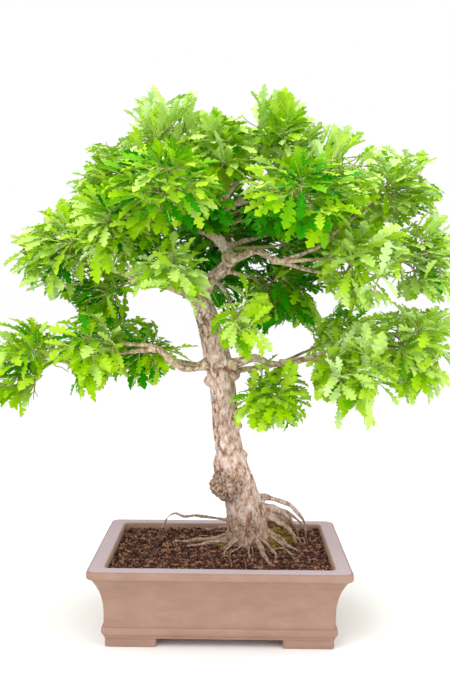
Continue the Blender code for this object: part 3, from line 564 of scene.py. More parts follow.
# Sprays that grow straight from the upper trunk, in the room that the masses leave round it.
INNER = tuple(Branch(*row) for row in (
    ("inner_right", "trunk", 0.86, 0.0022, (), (72, -62, 598), (62, 62, 50), 0.2),
    ("inner_left", "trunk", 0.88, 0.0022, (), (-26, -62, 600), (52, 60, 50), 0.2),
    ("inner_back", "trunk", 0.66, 0.0024, (), (-12, 90, 500), (66, 62, 50), 0.1),
    ("inner_back_left", "trunk", 0.68, 0.0024, (), (-92, 50, 540), (62, 64, 50), 0.1),
    ("inner_back_right", "trunk", 0.8, 0.0024, (), (120, 50, 556), (60, 60, 42), 0.1),
    ("between_left", "trunk", 0.86, 0.0024, (), (-88, 130, 640), (62, 76, 60), 0.0),
    ("between_right", "trunk", 0.88, 0.0024, (), (92, 130, 640), (62, 76, 60), 0.0),
))
LEADER = Branch("top", "trunk", 1.0, 0.0035, (), (0, -40, 690), (60, 90, 66), -0.1)
# Ends of the long outer leaves and shoots of each mass, in millimetres.
OUTER_TIPS_MM = {
    "top_left": ((-111, 0, 771), (-139, 20, 746), (-52, 30, 770)), "left_high": ((-187, 0, 698), (-213,
    -20, 645)), "upper_left": ((-282, 0, 624), (-312, -10, 525), (-297, 10, 498), (-284, -20, 571), (-320,
    20, 556)), "top_right": ((62, 0, 769), (98, 10, 756), (117, 20, 756)), "right_high": ((140, -10, 728),
    (181, 0, 716), (177, 20, 686)), "right_shoulder": ((232, 20, 698), (298, 20, 678), (304, 0, 642)),
    "right_tip": ((250, -20, 478), (285, -10, 482), (325, 0, 602), (295, -20, 576), (324, 0, 498), (316,
    20, 530)), "lower_left_tip": ((-308, -20, 313), (-321, -10, 346), (-261, 0, 467), (-300, -10, 440)),
    "lower_left": ((-182, -60, 345),), "lower_left_inner": ((-107, 10, 344), (-85, 0, 436), (-36, 0,
    409)), "lower_right_tip": ((262, 0, 476), (300, 0, 470), (325, 20, 455), (313, 0, 327), (329, 0, 348),
    (326, 0, 402), (264, 0, 317)), "lower_right": ((164, -50, 310), (204, -50, 308), (122, -50, 395),
    (120, -40, 368)), "lower_right_inner": ((66, -30, 291), (114, -30, 297), (126, -30, 350)),
    "right_back_low": ((106, 80, 425), (134, 80, 428)), "top": ((5, -40, 723), (-27, -40, 734)),
    "left_under": ((-140, 30, 470), (-143, 30, 461)), "front": ((-33, -130, 478), (-68, -130, 474)),
}
# Open places in the crown as the front view shows them: middle across and up, half-widths, millimetres.
FRONT_EYE = Vector((0.0168, -1.3229, 0.4956))
OPENINGS_MM = (
    (-104, 465, 61, 18), (-66, 429, 29, 16), (-236, 456, 25, 10), (-306, 465, 44, 20), (-244, 344, 23,
    32), (-158, 334, 19, 26), (-59, 337, 38, 20), (-224, 282, 82, 38), (-300, 611, 58, 13), (-308, 644,
    64, 32), (-318, 576, 23, 16), (-318, 541, 23, 12), (-241, 690, 41, 47), (-163, 722, 19, 23), (-82,
    763, 9, 15), (16, 755, 32, 18), (98, 417, 44, 18), (149, 469, 16, 19), (180, 514, 20, 9), (234, 497,
    29, 12), (272, 515, 13, 16), (243, 632, 13, 13), (124, 619, 17, 12), (190, 687, 13, 23), (143, 756,
    23, 18), (260, 712, 38, 20), (291, 570, 13, 7), (239, 339, 10, 16), (145, 306, 22, 16), (269, 298, 32,
    20), (-263, 326, 20, 26), (-195, 310, 32, 20), (93, 264, 47, 15), (2, 364, 31, 32), (-68, 784, 24,
    19), (76, 789, 26, 12), (-285, 590, 28, 11), (-26, 758, 15, 12), (40, 735, 17, 12), (110, 776, 20,
    12), (-187, 710, 20, 13), (303, 654, 17, 15), (193, 295, 18, 13), (236, 318, 14, 12), (325, 377, 9,
    17),
)
# How much closer than usual a mass's fine twigs stand, and by how much its leaves are painted paler (above 0)
# or darker (below 0), as painted light and shade on that mass.
DENSE_MASSES = {
    "back": 0.5, "top_back": 0.7, "right_back_low": 0.6, "top": 0.75, "left_under": 0.8,
}
MASS_PAINTED_LIGHT = {
    "front": 0.7, "front_hanging": 0.44, "lower_right": 0.1, "lower_left": -0.04, "lower_left_tip": -0.12,
    "upper_left": 0.06, "left_front": 0.18, "left_high": 0.34, "upper_right": 0.34, "right_tip": 0.1,
    "right_shoulder": 0.06, "right_high": 0.04, "lower_right_back": 0.12, "right_back_low": -0.02, "back":
    -0.26, "top": 0.04, "top_left": 0.16, "top_right": 0.08, "front_left_high": -0.15, "front_right_high":
    -0.2, "lower_right_inner": -0.04, "inner_right": -0.22, "inner_left": -0.16, "left_under": -0.1,
    "inner_back": -0.25, "inner_back_left": -0.2, "inner_back_right": -0.2,
}


@dataclass
class Limb:
    """A centre line with its radii, and the search tree that leaves and twigs keep clear of."""
    line: Line
    radii: list[float]
    tree: BVHTree | None = None

    def heading(self) -> Vector:
        """Heading at the tip."""
        return headings_along(self.line)[-1]

    def resampled(self, step: float) -> "Limb":
        """The same limb on a smooth line with a point about every `step`."""
        packed = [Vector((*point, radius)) for point, radius in zip(self.line, self.radii)]
        walked = smooth_line(packed, step)
        return Limb([Vector(point[:3]) for point in walked], [point[3] for point in walked])


class Cell:
    """The space of one leaf mass: its ellipsoid, cut by a plane towards each neighbour."""
    MARGIN = 0.0005

    def __init__(self, branch: Branch, branches: tuple[Branch, ...]) -> None:
        """Place the planes between this branch's mass and those of all the branches."""
        self.centre = metres(branch.centre)
        self.radii = metres(branch.radii)
        planes = [self.plane_towards(metres(other.centre), metres(other.radii))
                  for other in branches if other is not branch]
        self.normals = as_rows([normal for normal, _ in planes])
        self.limits = np.array([limit for _, limit in planes])

    def plane_towards(self, centre: Vector, radii: Vector) -> tuple[Vector, float]:
        """Plane between this and another ellipsoid, as its normal and its distance from this centre."""
        towards = centre - self.centre
        distance = towards.length
        normal = towards / distance
        own, other = (math.sqrt(sum((r * n) ** 2 for r, n in zip(half, normal)))
                      for half in (self.radii, radii))
        return normal, distance * own / (own + other) - self.MARGIN

    def holds(self, points: Line, margin: float = 0.0, stretch: Triple = NO_STRETCH) -> bool:
        """Whether all the points lie in the space.

        Args:
            points: The points.
            margin: Distance they keep from its edge.
            stretch: How far past the ellipsoid they may go along each axis, as a share of it.

        Returns:
            True if all of them do.
        """
        offsets = as_rows(points) - np.array(self.centre)
        scaled = offsets / (np.array(self.radii) * np.array(stretch) - margin)
        if (scaled ** 2).sum(axis=1).max() > 1.0:
            return False
        return bool((offsets @ self.normals.T < self.limits - margin).all())

    def volume(self) -> float:
        """Volume of the whole ellipsoid."""
        return 4 / 3 * math.pi * self.radii.x * self.radii.y * self.radii.z


# ---------------------------------------------------------------- trunk and boughs

@dataclass
class Skeleton:
    """Centre lines of the trunk, its surface roots and all the boughs, as the solids have them."""
    trunk_sides: int = 11
    trunk_step: float = 0.018
    root_steps: int = 5
    root_end_taper: float = 0.55
    root_end: tuple[float, float] = (0.004, 0.012)
    bough_tip_radius: float = 0.0023
    bough_step: float = 0.027
    fine_step: float = 0.002
    clear_steps: int = 10
    taper_power: float = 0.8
    collar: float = 1.25
    collar_length: float = 0.014
    thick_bough: float = 0.0045
    limb_margin: float = 0.0007
    limbs: dict[str, Limb] = field(default_factory=dict)
    cells: dict[str, Cell] = field(default_factory=dict)

    def grow(self) -> None:
        """Work out every limb and every mass's space."""
        everyone = (*BRANCHES, LEADER)
        self.cells = {branch.name: Cell(branch, everyone) for branch in everyone}
        self.limbs["trunk"] = self.trunk_limb()
        for branch in BRANCHES:
            start = point_at(self.limbs[branch.parent].line, branch.at)
            line = self.bough_line(branch, start)
            radii = self.bough_radii(branch, line)
            sides = 7 if branch.radius > self.thick_bough else 5
            tree = tree_of(*tube_mesh(line, radii, sides, self.limb_margin))
            self.limbs[branch.name] = Limb(line, radii, tree)

    def trunk_limb(self) -> Limb:
        """The trunk's line and radii, from below the soil to the leader's tip."""
        walked = smooth_line([Vector(values) * 0.001 for values in TRUNK_LINE_MM], self.trunk_step)
        line = [Vector(point[:3]) for point in walked]
        radii = [point[3] for point in walked]
        return Limb(line, radii, tree_of(*tube_mesh(line, radii, self.trunk_sides, self.limb_margin)))

    def root_limb(self, root: tuple[float, ...], steps: int) -> Limb:
        """A surface root, as a row of ROOTS, that arches in that many spans down into the soil."""
        bearing, leave, reach, roundness, radius = root
        foot = Vector(TRUNK_LINE_MM[0][:3]) * 0.001
        way = Vector((math.cos(math.radians(bearing)), math.sin(math.radians(bearing)), 0))
        line = []
        for step in range(steps + 1):
            angle = math.pi / 2 * step / steps
            out = reach * math.sin(angle) ** (2 / roundness)
            rise = leave * max(math.cos(angle), 0.0) ** (2 / roundness)
            line.append(Vector((foot.x, foot.y, SOIL_TOP + rise)) + way * out)
        out, down = self.root_end
        line.append(line[-1] + way * out - Vector((0, 0, down)))
        last = len(line) - 1
        return Limb(line, [radius * (1 - (1 - self.root_end_taper) * index / last)
                           for index in range(last + 1)])

    def bough_radii(self, branch: Branch, line: Line) -> list[float]:
        """Radius at each point of a bough: a collar at the butt, then an even taper."""
        lengths = lengths_along(line)
        radii = []
        for length in lengths:
            share = length / lengths[-1]
            radius = branch.radius + (self.bough_tip_radius - branch.radius) * share ** self.taper_power
            collar = max(0.0, 1 - length / (self.collar_length + branch.radius))
            radii.append(radius * (1 + (self.collar - 1) * collar))
        return radii

    def bough_line(self, branch: Branch, start: Vector) -> Line:
        """Line of a bough from its parent's axis to where it enters its own mass."""
        cell = self.cells[branch.name]
        fine = smooth_line([start, *[metres(point) for point in branch.via], cell.centre], self.fine_step)
        depth = self.bough_tip_radius * 1.5
        for index, point in enumerate(fine):
            if index > self.clear_steps and cell.holds([point], depth):
                break
        kept = fine[:index:max(1, round(self.bough_step / self.fine_step))]
        if (fine[index] - kept[-1]).length < self.bough_step / 2 and len(kept) > 2:
            kept.pop()
        kept.append(fine[index])
        return kept


@dataclass
class Bark:
    """Bark relief: long plates parted by cracks, with fine wrinkles across them."""
    plate_width: float = 0.0062
    plate_length: float = 0.026
    crack_depth: float = 0.0013
    lump_height: float = 0.0020
    lump_size: float = 0.020
    wrinkle_height: float = 0.00030
    wrinkle_size: float = 0.0032
    grain_height: float = 0.0004
    grain_size: float = 0.0040
    warp: float = 0.55
    warp_size: float = 0.009
    flake_scale: float = 2.3
    flake_share: float = 0.30

    def relief(self, local: Vector, along: float, place: Vector) -> tuple[float, float]:
        """Height of the bark at a point.

        Args:
            local: The point's offset from the limb's axis.
            along: Its distance along the limb.
            place: The point itself.

        Returns:
            Height in metres, and a plate value from 0 in a crack to 1 on a plate.
        """
        warp = noise.noise(place / self.warp_size) * self.warp
        cell = Vector((local.x / self.plate_width + warp, local.y / self.plate_width - warp,
                       along / self.plate_length + local.z / self.plate_width * 0.2))
        near, _ = noise.voronoi(cell)
        plate = smooth_step(near[1] - near[0], 0.0, 0.20)
        near, _ = noise.voronoi(cell * self.flake_scale)
        flake = smooth_step(near[1] - near[0], 0.0, 0.25)
        lumps = noise.noise(place / self.lump_size)
        wrinkles = noise.noise(Vector((local.x * 0.6, local.y * 0.6, along * 2.4)) / self.wrinkle_size)
        grain = noise.noise(Vector((local.x * 3.0, local.y * 3.0, along)) / self.grain_size)
        patch = smooth_step(noise.noise(place / 0.030) + 0.3 * noise.noise(place / 0.007), -0.35, 0.35)
        depth = (1 - plate) * (0.35 + 0.65 * patch) + (1 - flake) * self.flake_share
        height = (lumps * self.lump_height + wrinkles * self.wrinkle_height + grain * self.grain_height
                  - depth * self.crack_depth)
        return height, max(0.0, 1 - 0.85 * depth + 0.25 * wrinkles)


@dataclass
class Trunk:
    """The trunk with its burl and surface roots, in one skin with the bark's relief."""
    skeleton: Skeleton
    bark: Bark = field(default_factory=Bark)
    voxel: float = 0.00125
    ease: float = 0.5
    ease_rounds: int = 4
    sides: int = 48
    root_sides: int = 14
    step: float = 0.006
    root_step: float = 0.004
    foot_depth: float = 0.0015
    sway: float = 0.0030
    sway_length: float = 0.022
    swelling: float = 0.34
    buttresses: int = 11
    inner_arches: tuple[tuple[float, ...], ...] = (
        (10, 0.056, 0.076, 2.00, 0.0060), (14, 0.048, 0.078, 1.85, 0.0050),
        (2, 0.046, 0.070, 1.70, 0.0056), (358, 0.044, 0.068, 1.60, 0.0062),
        (20, 0.040, 0.072, 1.50, 0.0056), (340, 0.034, 0.060, 1.15, 0.0056))
    flat_root: int = 0
    flat_root_line: tuple[Triple, ...] = (
        (0.030, 0.038, 0.1330), (0.004, 0.040, 0.1370), (-0.0227, 0.045, 0.1400),
        (-0.0450, 0.049, 0.1385), (-0.0582, 0.050, 0.1388), (-0.0722, 0.052, 0.1425),
        (-0.0800, 0.053, 0.1380), (-0.0860, 0.053, 0.1290), (-0.0960, 0.054, 0.1130),
        (-0.1031, 0.055, 0.0995))
    burl_centre: Triple = (0.009, 0.018, 0.1955)
    burl_edge: tuple[float, float] = (0.022, 0.034)
    burl_lumps: tuple[tuple[float, ...], ...] = (
        (0.010, 0.021, 0.1960, 0.0235, 0.0200, 0.0255), (0.001, 0.022, 0.2060, 0.0140, 0.0140, 0.0150),
        (-0.005, 0.020, 0.1930, 0.0130, 0.0130, 0.0130), (0.016, 0.010, 0.1860, 0.0130, 0.0110, 0.0120),
        (0.012, 0.008, 0.2040, 0.0140, 0.0100, 0.0170), (0.007, 0.016, 0.1830, 0.0120, 0.0120, 0.0080),
        (0.000, 0.021, 0.2260, 0.0140, 0.0135, 0.0230), (0.018, 0.020, 0.1840, 0.0170, 0.0160, 0.0150))
    burl_roughness: float = 0.0040
    pit_depth: float = 0.0018
    burl_hole: Triple = (-0.0015, 0.0010, 0.1985)
    burl_hole_size: float = 0.0062
    burl_hole_depth: float = 0.006
    # The bark is drawn darker towards the soil: the relief is scaled down over this height above it, to this
    # share at the soil.
    base_darkening_height: float = 0.110
    base_darkening_floor: float = 0.42
    knots: tuple[tuple[float, ...], ...] = ((0.0320, 0.024, 0.240, 0.0065), (0.0245, 0.012, 0.285, 0.0060),
                                            (-0.0190, 0.012, 0.352, 0.0090), (0.0170, 0.012, 0.362, 0.0100))

    def swayed(self, limb: Limb, number: int) -> Limb:
        """A root with small bends and swellings, picked by its number, and its ends where they were."""
        lengths = lengths_along(limb.line)
        line, radii = [], []
        for point, radius, length in zip(limb.line, limb.radii, lengths):
            ends = min(1.0, 4 * (1 - length / lengths[-1]), length / 0.03)
            where = Vector((length / self.sway_length, number * 7.3, 1.7))
            line.append(point + noise.noise_vector(where) * self.sway * ends)
            share = length / lengths[-1]
            radii.append(radius * (1.22 - 0.80 * share) * (1 + self.swelling * noise.noise(where * 2.1)))
        return Limb(line, radii)

    def root_at(self, root: tuple[float, ...]) -> Limb:
        """The even limb of a surface root, finely stepped."""
        return self.skeleton.root_limb(root, self.skeleton.root_steps).resampled(self.root_step)

    def guide_limbs(self) -> list[Limb]:
        """The trunk, every root and the buttresses of the flare, finely stepped."""
        limbs = [self.skeleton.limbs["trunk"].resampled(self.step)]
        for number, root in enumerate((*ROOTS, *self.inner_arches)):
            limb = self.root_at(root)
            if number == self.flat_root:
                line = [Vector(point) for point in self.flat_root_line]
                limb = Limb(line, [root[-1] * 0.75] * len(line)).resampled(self.root_step)
            limbs.append(self.swayed(limb, number))
        rng = random.Random("buttress")
        for number in range(self.buttresses):
            bearing = 360 * number / self.buttresses + rng.uniform(-12, 12)
            root = (bearing, rng.uniform(0.035, 0.065), rng.uniform(0.040, 0.052),
                    rng.uniform(0.70, 0.95), rng.uniform(0.0070, 0.0105))
            limbs.append(self.swayed(self.root_at(root), number + 40))
        return limbs

    def rough_object(self, limbs: list[Limb]) -> bpy.types.Object:
        """The limbs' tubes, the burl and the knots, remeshed into one skin."""
        shape = bmesh.new()
        for number, limb in enumerate(limbs):
            sides = self.root_sides if number else self.sides
            vertices, faces = tube_mesh(limb.line, limb.radii, sides)
            made = [shape.verts.new(vertex) for vertex in vertices]
            for face in faces:
                shape.faces.new([made[index] for index in face])
        swellings = [(lump[:3], lump[3:]) for lump in self.burl_lumps]
        swellings += [(knot[:3], (knot[3],) * 3) for knot in self.knots]
        for centre, radii in swellings:
            bmesh.ops.create_icosphere(shape, subdivisions=4, radius=1.0,
                                       matrix=Matrix.Translation(centre) @ Matrix.Diagonal((*radii, 1)))
        bmesh.ops.recalc_face_normals(shape, faces=shape.faces)
        obj = shape_object("trunk_skin", shape)
        remesh = obj.modifiers.new("skin", "REMESH")
        remesh.mode = "VOXEL"
        remesh.voxel_size = self.voxel
        ease = obj.modifiers.new("ease", "SMOOTH")
        ease.factor = self.ease
        ease.iterations = self.ease_rounds
        baked = evaluated_mesh(obj)
        obj.modifiers.clear()
        obj.data = baked
        return obj

    def add_relief(self, obj: bpy.types.Object, limbs: list[Limb]) -> None:
        """Push the skin in and out by the relief of the nearest limb's bark, and store the relief that
        darkens the colour: low in the cracks (partly their own colour, partly painted shade), in the burl's
        folds, pits and hole (painted shade) and towards the soil.
        """
        mesh = obj.data
        points, normals = (self.vertex_rows(mesh, name) for name in ("co", "normal"))
        axis_points, axis_lengths, axis_radii = self.axis_table(limbs)
        nearest = self.nearest_axis(points, axis_points, axis_radii)
        relief = np.zeros(len(points))
        moved = points.copy()
        for index, which in enumerate(nearest):
            place = Vector(points[index])
            local = place - Vector(axis_points[which])
            height, plate = self.bark.relief(local, axis_lengths[which], place)
            scale = min(1.0, axis_radii[which] / 0.014)
            burl = 1 - smooth_step((place - Vector(self.burl_centre)).length, *self.burl_edge)
            strand = Vector((place.x * 1.2, place.y * 1.2, place.z * 0.42)) / 0.0050
            folds = 1 - 2 * abs(noise.noise(strand + noise.noise_vector(place / 0.009) * 1.1))
            pits = noise.noise(place / 0.0030)
            hole = 1 - smooth_step((place - Vector(self.burl_hole)).length, 0.0, self.burl_hole_size)
            rough = (((folds - 0.4) * self.burl_roughness + pits * self.pit_depth) * burl
                     - hole * self.burl_hole_depth)
            moved[index] += normals[index] * (height * (0.35 + 0.65 * scale) + rough)
            # Painted shade in the burl: the hollows of its folds, its pits and its hole lower the stored
            # relief, so the colour darkens there.
            fold_shade = smooth_step(folds + 0.8 * pits, -0.1, 1.0) * (1 - 0.9 * hole)
            # Darker towards the soil: the stored relief shrinks near it.
            above_base = smooth_step(place.z - SOIL_TOP + 0.008 * noise.noise(place / 0.012),
                                0.0, self.base_darkening_height)
            relief[index] = ((plate * (1 - burl) + min(plate, 0.06 + 0.54 * fold_shade) * burl)
                             * (self.base_darkening_floor + (1 - self.base_darkening_floor) * above_base))
        mesh.vertices.foreach_set("co", moved.ravel())
        store_relief(mesh, relief)

    def vertex_rows(self, mesh: bpy.types.Mesh, name: str) -> np.ndarray:
        """One property of the mesh's vertices, one row each."""
        values = np.zeros(len(mesh.vertices) * 3)
        mesh.vertices.foreach_get(name, values)
        return values.reshape(-1, 3)

    def axis_table(self, limbs: list[Limb]) -> tuple[np.ndarray, list[float], np.ndarray]:
        """Points, running lengths and radii of all the limbs in one table."""
        points, lengths, radii = [], [], []
        for number, limb in enumerate(limbs):
            points += limb.line
            lengths += [length + number * 1.7 for length in lengths_along(limb.line)]
            radii += limb.radii
        return as_rows(points), lengths, np.array(radii)

    def nearest_axis(self, points: np.ndarray, axis: np.ndarray, radii: np.ndarray) -> np.ndarray:
        """Number of the axis point whose surface lies nearest each vertex."""
        nearest = np.zeros(len(points), dtype=np.int64)
        for start in range(0, len(points), 4000):
            block = points[start:start + 4000]
            gaps = np.linalg.norm(block[:, None, :] - axis[None, :, :], axis=2) - radii[None, :]
            nearest[start:start + 4000] = np.argmin(gaps, axis=1)
        return nearest

    def cut_foot(self, obj: bpy.types.Object) -> None:
        """Cut the skin flat just below the soil's top and close it."""
        shape = bmesh.new()
        shape.from_mesh(obj.data)
        cut = bmesh.ops.bisect_plane(shape, geom=[*shape.verts, *shape.edges, *shape.faces],
                                     plane_co=(0, 0, SOIL_TOP - self.foot_depth), plane_no=(0, 0, 1),
                                     clear_inner=True)
        rim = [item for item in cut["geom_cut"] if isinstance(item, bmesh.types.BMEdge)]
        bmesh.ops.holes_fill(shape, edges=rim)
        bmesh.ops.triangulate(shape, faces=[face for face in shape.faces if len(face.verts) > 4])
        shape.to_mesh(obj.data)
        shape.free()

    def build(self) -> bpy.types.Object:
        """Build and dress the trunk's skin."""
        limbs = self.guide_limbs()
        obj = self.rough_object(limbs)
        obj.name = "bark_trunk"
        self.add_relief(obj, limbs)
        self.cut_foot(obj)
        obj.data.shade_smooth()
        dress(obj, "bark", ("trunk",), BARK)
        return obj


@dataclass
class Rootlets:
    """Thin roots that run out over the soil between the thick ones."""
    trunk: Trunk
    count: int = 19
    sides: int = 7
    spans: int = 8
    step: float = 0.004
    foot: tuple[float, float] = (0.044, 0.040)
    room: tuple[float, float] = (0.146, 0.106)
    seed: str = "rootlets"

    def reach_of(self, bearing: float, wanted: float) -> float:
        """The wanted reach, shortened where the pot's wall is nearer."""
        way = (math.cos(math.radians(bearing)), math.sin(math.radians(bearing)))
        limits = [(room - math.copysign(1.0, part) * foot) / abs(part)
                  for room, foot, part in zip(self.room, self.foot, way) if abs(part) > 0.05]
        return min(wanted, *limits)

    def build(self) -> None:
        """Build and dress the rootlets."""
        rng = random.Random(self.seed)
        store = MeshStore()
        for number in range(self.count):
            bearing = 360 * number / self.count + rng.uniform(-14, 14)
            reach = self.reach_of(bearing, rng.uniform(0.050, 0.112))
            root = (bearing, rng.uniform(0.004, 0.024), reach, rng.uniform(0.55, 0.95),
                    rng.uniform(0.0011, 0.0022))
            limb = self.trunk.skeleton.root_limb(root, self.spans).resampled(self.step)
            for point, length in zip(limb.line, lengths_along(limb.line)):
                where = Vector((length / 0.045, number * 3.7, 0.4))
                point += noise.noise_vector(where) * min(length, 0.05) * 0.22
            limb = self.trunk.swayed(limb, number + 80)
            line = [Vector((point.x, point.y, max(point.z, SOIL_TOP - 0.001) + 0.0004))
                    for point in limb.line]
            vertices, _ = tube_mesh(line, limb.radii, self.sides)
            store.add_tube(vertices, self.sides,
                           [0.50 + 0.40 * noise.noise(vertex / 0.005) for vertex in vertices])
        dress(store.to_object("rootlets"), "bark", ("trunk",), BARK)


@dataclass
class Boughs:
    """Every bough as a tube with finer bark, from inside its parent to inside its mass."""
    skeleton: Skeleton
    bark: Bark = field(default_factory=lambda: Bark(0.0042, 0.013, 0.0007, 0.0012, 0.012, 0.00020))
    ring_step: float = 0.0022
    sides: int = 18
    flare: float = 0.55
    flare_length: float = 0.0072
    widest_parent: float = 0.02

    def build(self) -> None:
        """Build and dress the boughs."""
        store = MeshStore()
        for number, branch in enumerate(BRANCHES):
            limb = self.skeleton.limbs[branch.name].resampled(self.ring_step)
            self.add_bough(store, limb, self.skeleton.limbs[branch.parent], number)
        dress(store.to_object("bark_boughs"), "bark", tuple(branch.bough_node for branch in BRANCHES),
              BOUGH_BARK)

    def add_bough(self, store: MeshStore, limb: Limb, parent: Limb, number: int) -> None:
        """Add one bough to the store.

        Args:
            store: Where its mesh goes.
            limb: Its finely stepped line.
            parent: The limb that it leaves.
            number: Its number, which shifts its bark pattern.
        """
        _, parent_radius = min(((point - limb.line[0]).length, radius)
                               for point, radius in zip(parent.line, parent.radii))
        shell = min(parent_radius, self.widest_parent)
        points, relief = [], []
        for point, across, radius, length in zip(limb.line, ring_frames(limb.line), limb.radii,
                                                 lengths_along(limb.line)):
            past = max(length - shell * 0.8, 0.0)
            flare = 1 + self.flare * math.exp(-past / self.flare_length)
            scale = min(1.0, radius / 0.008)
            for spoke in ring_spokes(across, self.sides):
                height, plate = self.bark.relief(spoke * radius, length + number * 0.37,
                                                 point + spoke * radius)
                points.append(point + spoke * (radius * flare + height * (0.3 + 0.7 * scale)))
                relief.append(plate)
        store.add_tube(points, self.sides, relief)


# ---------------------------------------------------------------- leaves and twigs

@dataclass(frozen=True)
class LeafShape:
    """Outline of an oak leaf: half-width and forward lean at stations along its midrib."""
    stations: tuple[float, ...] = (0.0, 0.13, 0.19, 0.27, 0.33, 0.40, 0.47, 0.54, 0.60, 0.67,
                                   0.74, 0.795, 0.86, 0.92, 1.0)
    widths: tuple[float, ...] = (0.010, 0.074, 0.036, 0.122, 0.146, 0.056, 0.176, 0.206, 0.072, 0.194,
                                 0.212, 0.080, 0.156, 0.102, 0.022)
    leans: tuple[float, ...] = (0.0, 0.022, 0.0, 0.012, 0.038, 0.0, 0.012, 0.042, 0.0, 0.012,
                                0.042, 0.0, 0.034, 0.010, 0.0)
    thickness: float = 0.0007

    def variant(self, rng: random.Random) -> "LeafShape":
        """A leaf of the same kind with its own lobes."""
        slim = rng.uniform(0.80, 1.06)
        widths = tuple(width * slim * rng.uniform(0.92, 1.08) for width in self.widths)
        leans = tuple(lean * rng.uniform(0.6, 1.3) for lean in self.leans)
        return LeafShape(self.stations, widths, leans, self.thickness)


@dataclass(frozen=True)
class LeafPose:
    """Where one leaf sits and how it bends."""
    root: Vector
    way: Vector
    face_up: Vector
    length: float
    petiole: float
    arch: float
    fold: float
    wave: float
    twist: float

    def spine(self, shares: np.ndarray) -> tuple[np.ndarray, np.ndarray]:
        """Distance along and height of places on the arched midrib, given as shares of its length."""
        fine = np.linspace(0.0, 1.08, 28)
        angles = -self.arch * fine
        step = (fine[1] - fine[0]) * self.length
        along = np.concatenate([[0.0], np.cumsum(np.cos(angles[:-1]) * step)])
        height = np.concatenate([[0.0], np.cumsum(np.sin(angles[:-1]) * step)])
        return np.interp(shares, fine, along), np.interp(shares, fine, height)

    def to_world(self, across: np.ndarray, along: np.ndarray, height: np.ndarray,
                 shares: np.ndarray) -> np.ndarray:
        """Turn leaf coordinates into places in the frame, with the leaf's twist.

        Args:
            across: Distance to the side.
            along: Distance along the leaf.
            height: Distance out of its face.
            shares: Share of the leaf's length, which the twist grows with.

        Returns:
            One row for each point.
        """
        side = self.way.cross(self.face_up).normalized()
        normal = np.array(side.cross(self.way).normalized())
        side, way = np.array(side), np.array(self.way)
        turn = self.twist * shares
        turned_across = across * np.cos(turn) - height * np.sin(turn)
        turned_height = across * np.sin(turn) + height * np.cos(turn)
        base = np.array(self.root) + way * self.petiole
        return (base + turned_across[:, None] * side + along[:, None] * way
                + turned_height[:, None] * normal)

    def outline(self) -> Line:
        """A coarse outline for overlap tests: root, both flanks, both shoulders and tip."""
        shares = np.array([0.03, 0.40, 0.40, 0.68, 0.68, 0.86, 0.86, 0.99, 0.60])
        sides = np.array([0.0, 0.13, -0.13, 0.19, -0.19, 0.16, -0.16, 0.0, 0.0]) * self.length
        along, height = self.spine(shares)
        points = self.to_world(sides, along, height + np.abs(sides) * self.fold, shares)
        return [Vector(point) for point in points]


OUTLINE_FACES = [(0, 1, 8), (0, 8, 2), (1, 3, 8), (2, 8, 4), (3, 5, 8), (4, 8, 6), (5, 7, 8), (6, 8, 7)]
RIB_QUADS = [face[::-1] for face in tube_quads(4, 3)]
RIB_CAPS = [face[::-1] for face in tube_caps(4, 3)]


def leaf_blade(shape: LeafShape, pose: LeafPose) -> tuple[np.ndarray, np.ndarray, np.ndarray]:
    """The blade of a leaf as a thin closed lens.

    Args:
        shape: Its outline.
        pose: Its place and bend.

    Returns:
        Vertices, four-sided faces, and for each face 0 on the upper side or 1 on the back.
    """
    stations = np.array(shape.stations)
    widths = np.array(shape.widths) * pose.length
    edge_shares = stations + np.array(shape.leans)
    edge_along, edge_height = pose.spine(edge_shares)
    ripple = pose.wave * widths * np.sin(stations * 14.0)
    left, right = (pose.to_world(sign * widths, edge_along, edge_height + widths * pose.fold + sign * ripple,
                                 edge_shares) for sign in (1, -1))
    along, height = pose.spine(stations)
    half = shape.thickness * (0.5 - 0.3 * stations)
    top, back = (pose.to_world(np.zeros(len(stations)), along, height + sign * half, stations)
                 for sign in (1, -1))
    count = len(stations)
    rows = np.arange(count - 1)[:, None]
    left_at, right_at, top_at, back_at = (rows + number * count for number in range(4))
    faces = np.concatenate([
        np.hstack([top_at, left_at, left_at + 1, top_at + 1]),
        np.hstack([right_at, top_at, top_at + 1, right_at + 1]),
        np.hstack([left_at, back_at, back_at + 1, left_at + 1]),
        np.hstack([back_at, right_at, right_at + 1, back_at + 1]),
        [[0, 2 * count, count, 3 * count]],
        [[count - 1, 4 * count - 1, 2 * count - 1, 3 * count - 1]],
    ])
    marks = np.repeat([0, 1, 0], [2 * len(rows), 2 * len(rows), 2]).astype(np.int32)
    return np.concatenate([left, right, top, back]), faces, marks


def leaf_rib(pose: LeafPose, width: float) -> np.ndarray:
    """Vertices of a leaf's petiole and midrib, as one tapering rod of four three-sided rings."""
    shares = np.array([0.0, 0.0, 0.45, 0.90])
    along, height = pose.spine(shares)
    along[0] = -pose.petiole
    half = width / 2 * np.array([1.1, 1.0, 0.7, 0.3])
    corners = [pose.to_world(half * side, along, height + half * rise, shares)
               for side, rise in ((1, -0.6), (0, 1.2), (-1, -0.6))]
    return np.stack(corners, axis=1).reshape(-1, 3)


@dataclass
class Twig:
    """One twig: its line, the twig it leaves, the number that it carries and how far it may reach."""
    line: Line
    parent: "Twig | None"
    load: int = 0
    is_shoot: bool = False
    is_leafy: bool = False
    stretch: Triple = NO_STRETCH


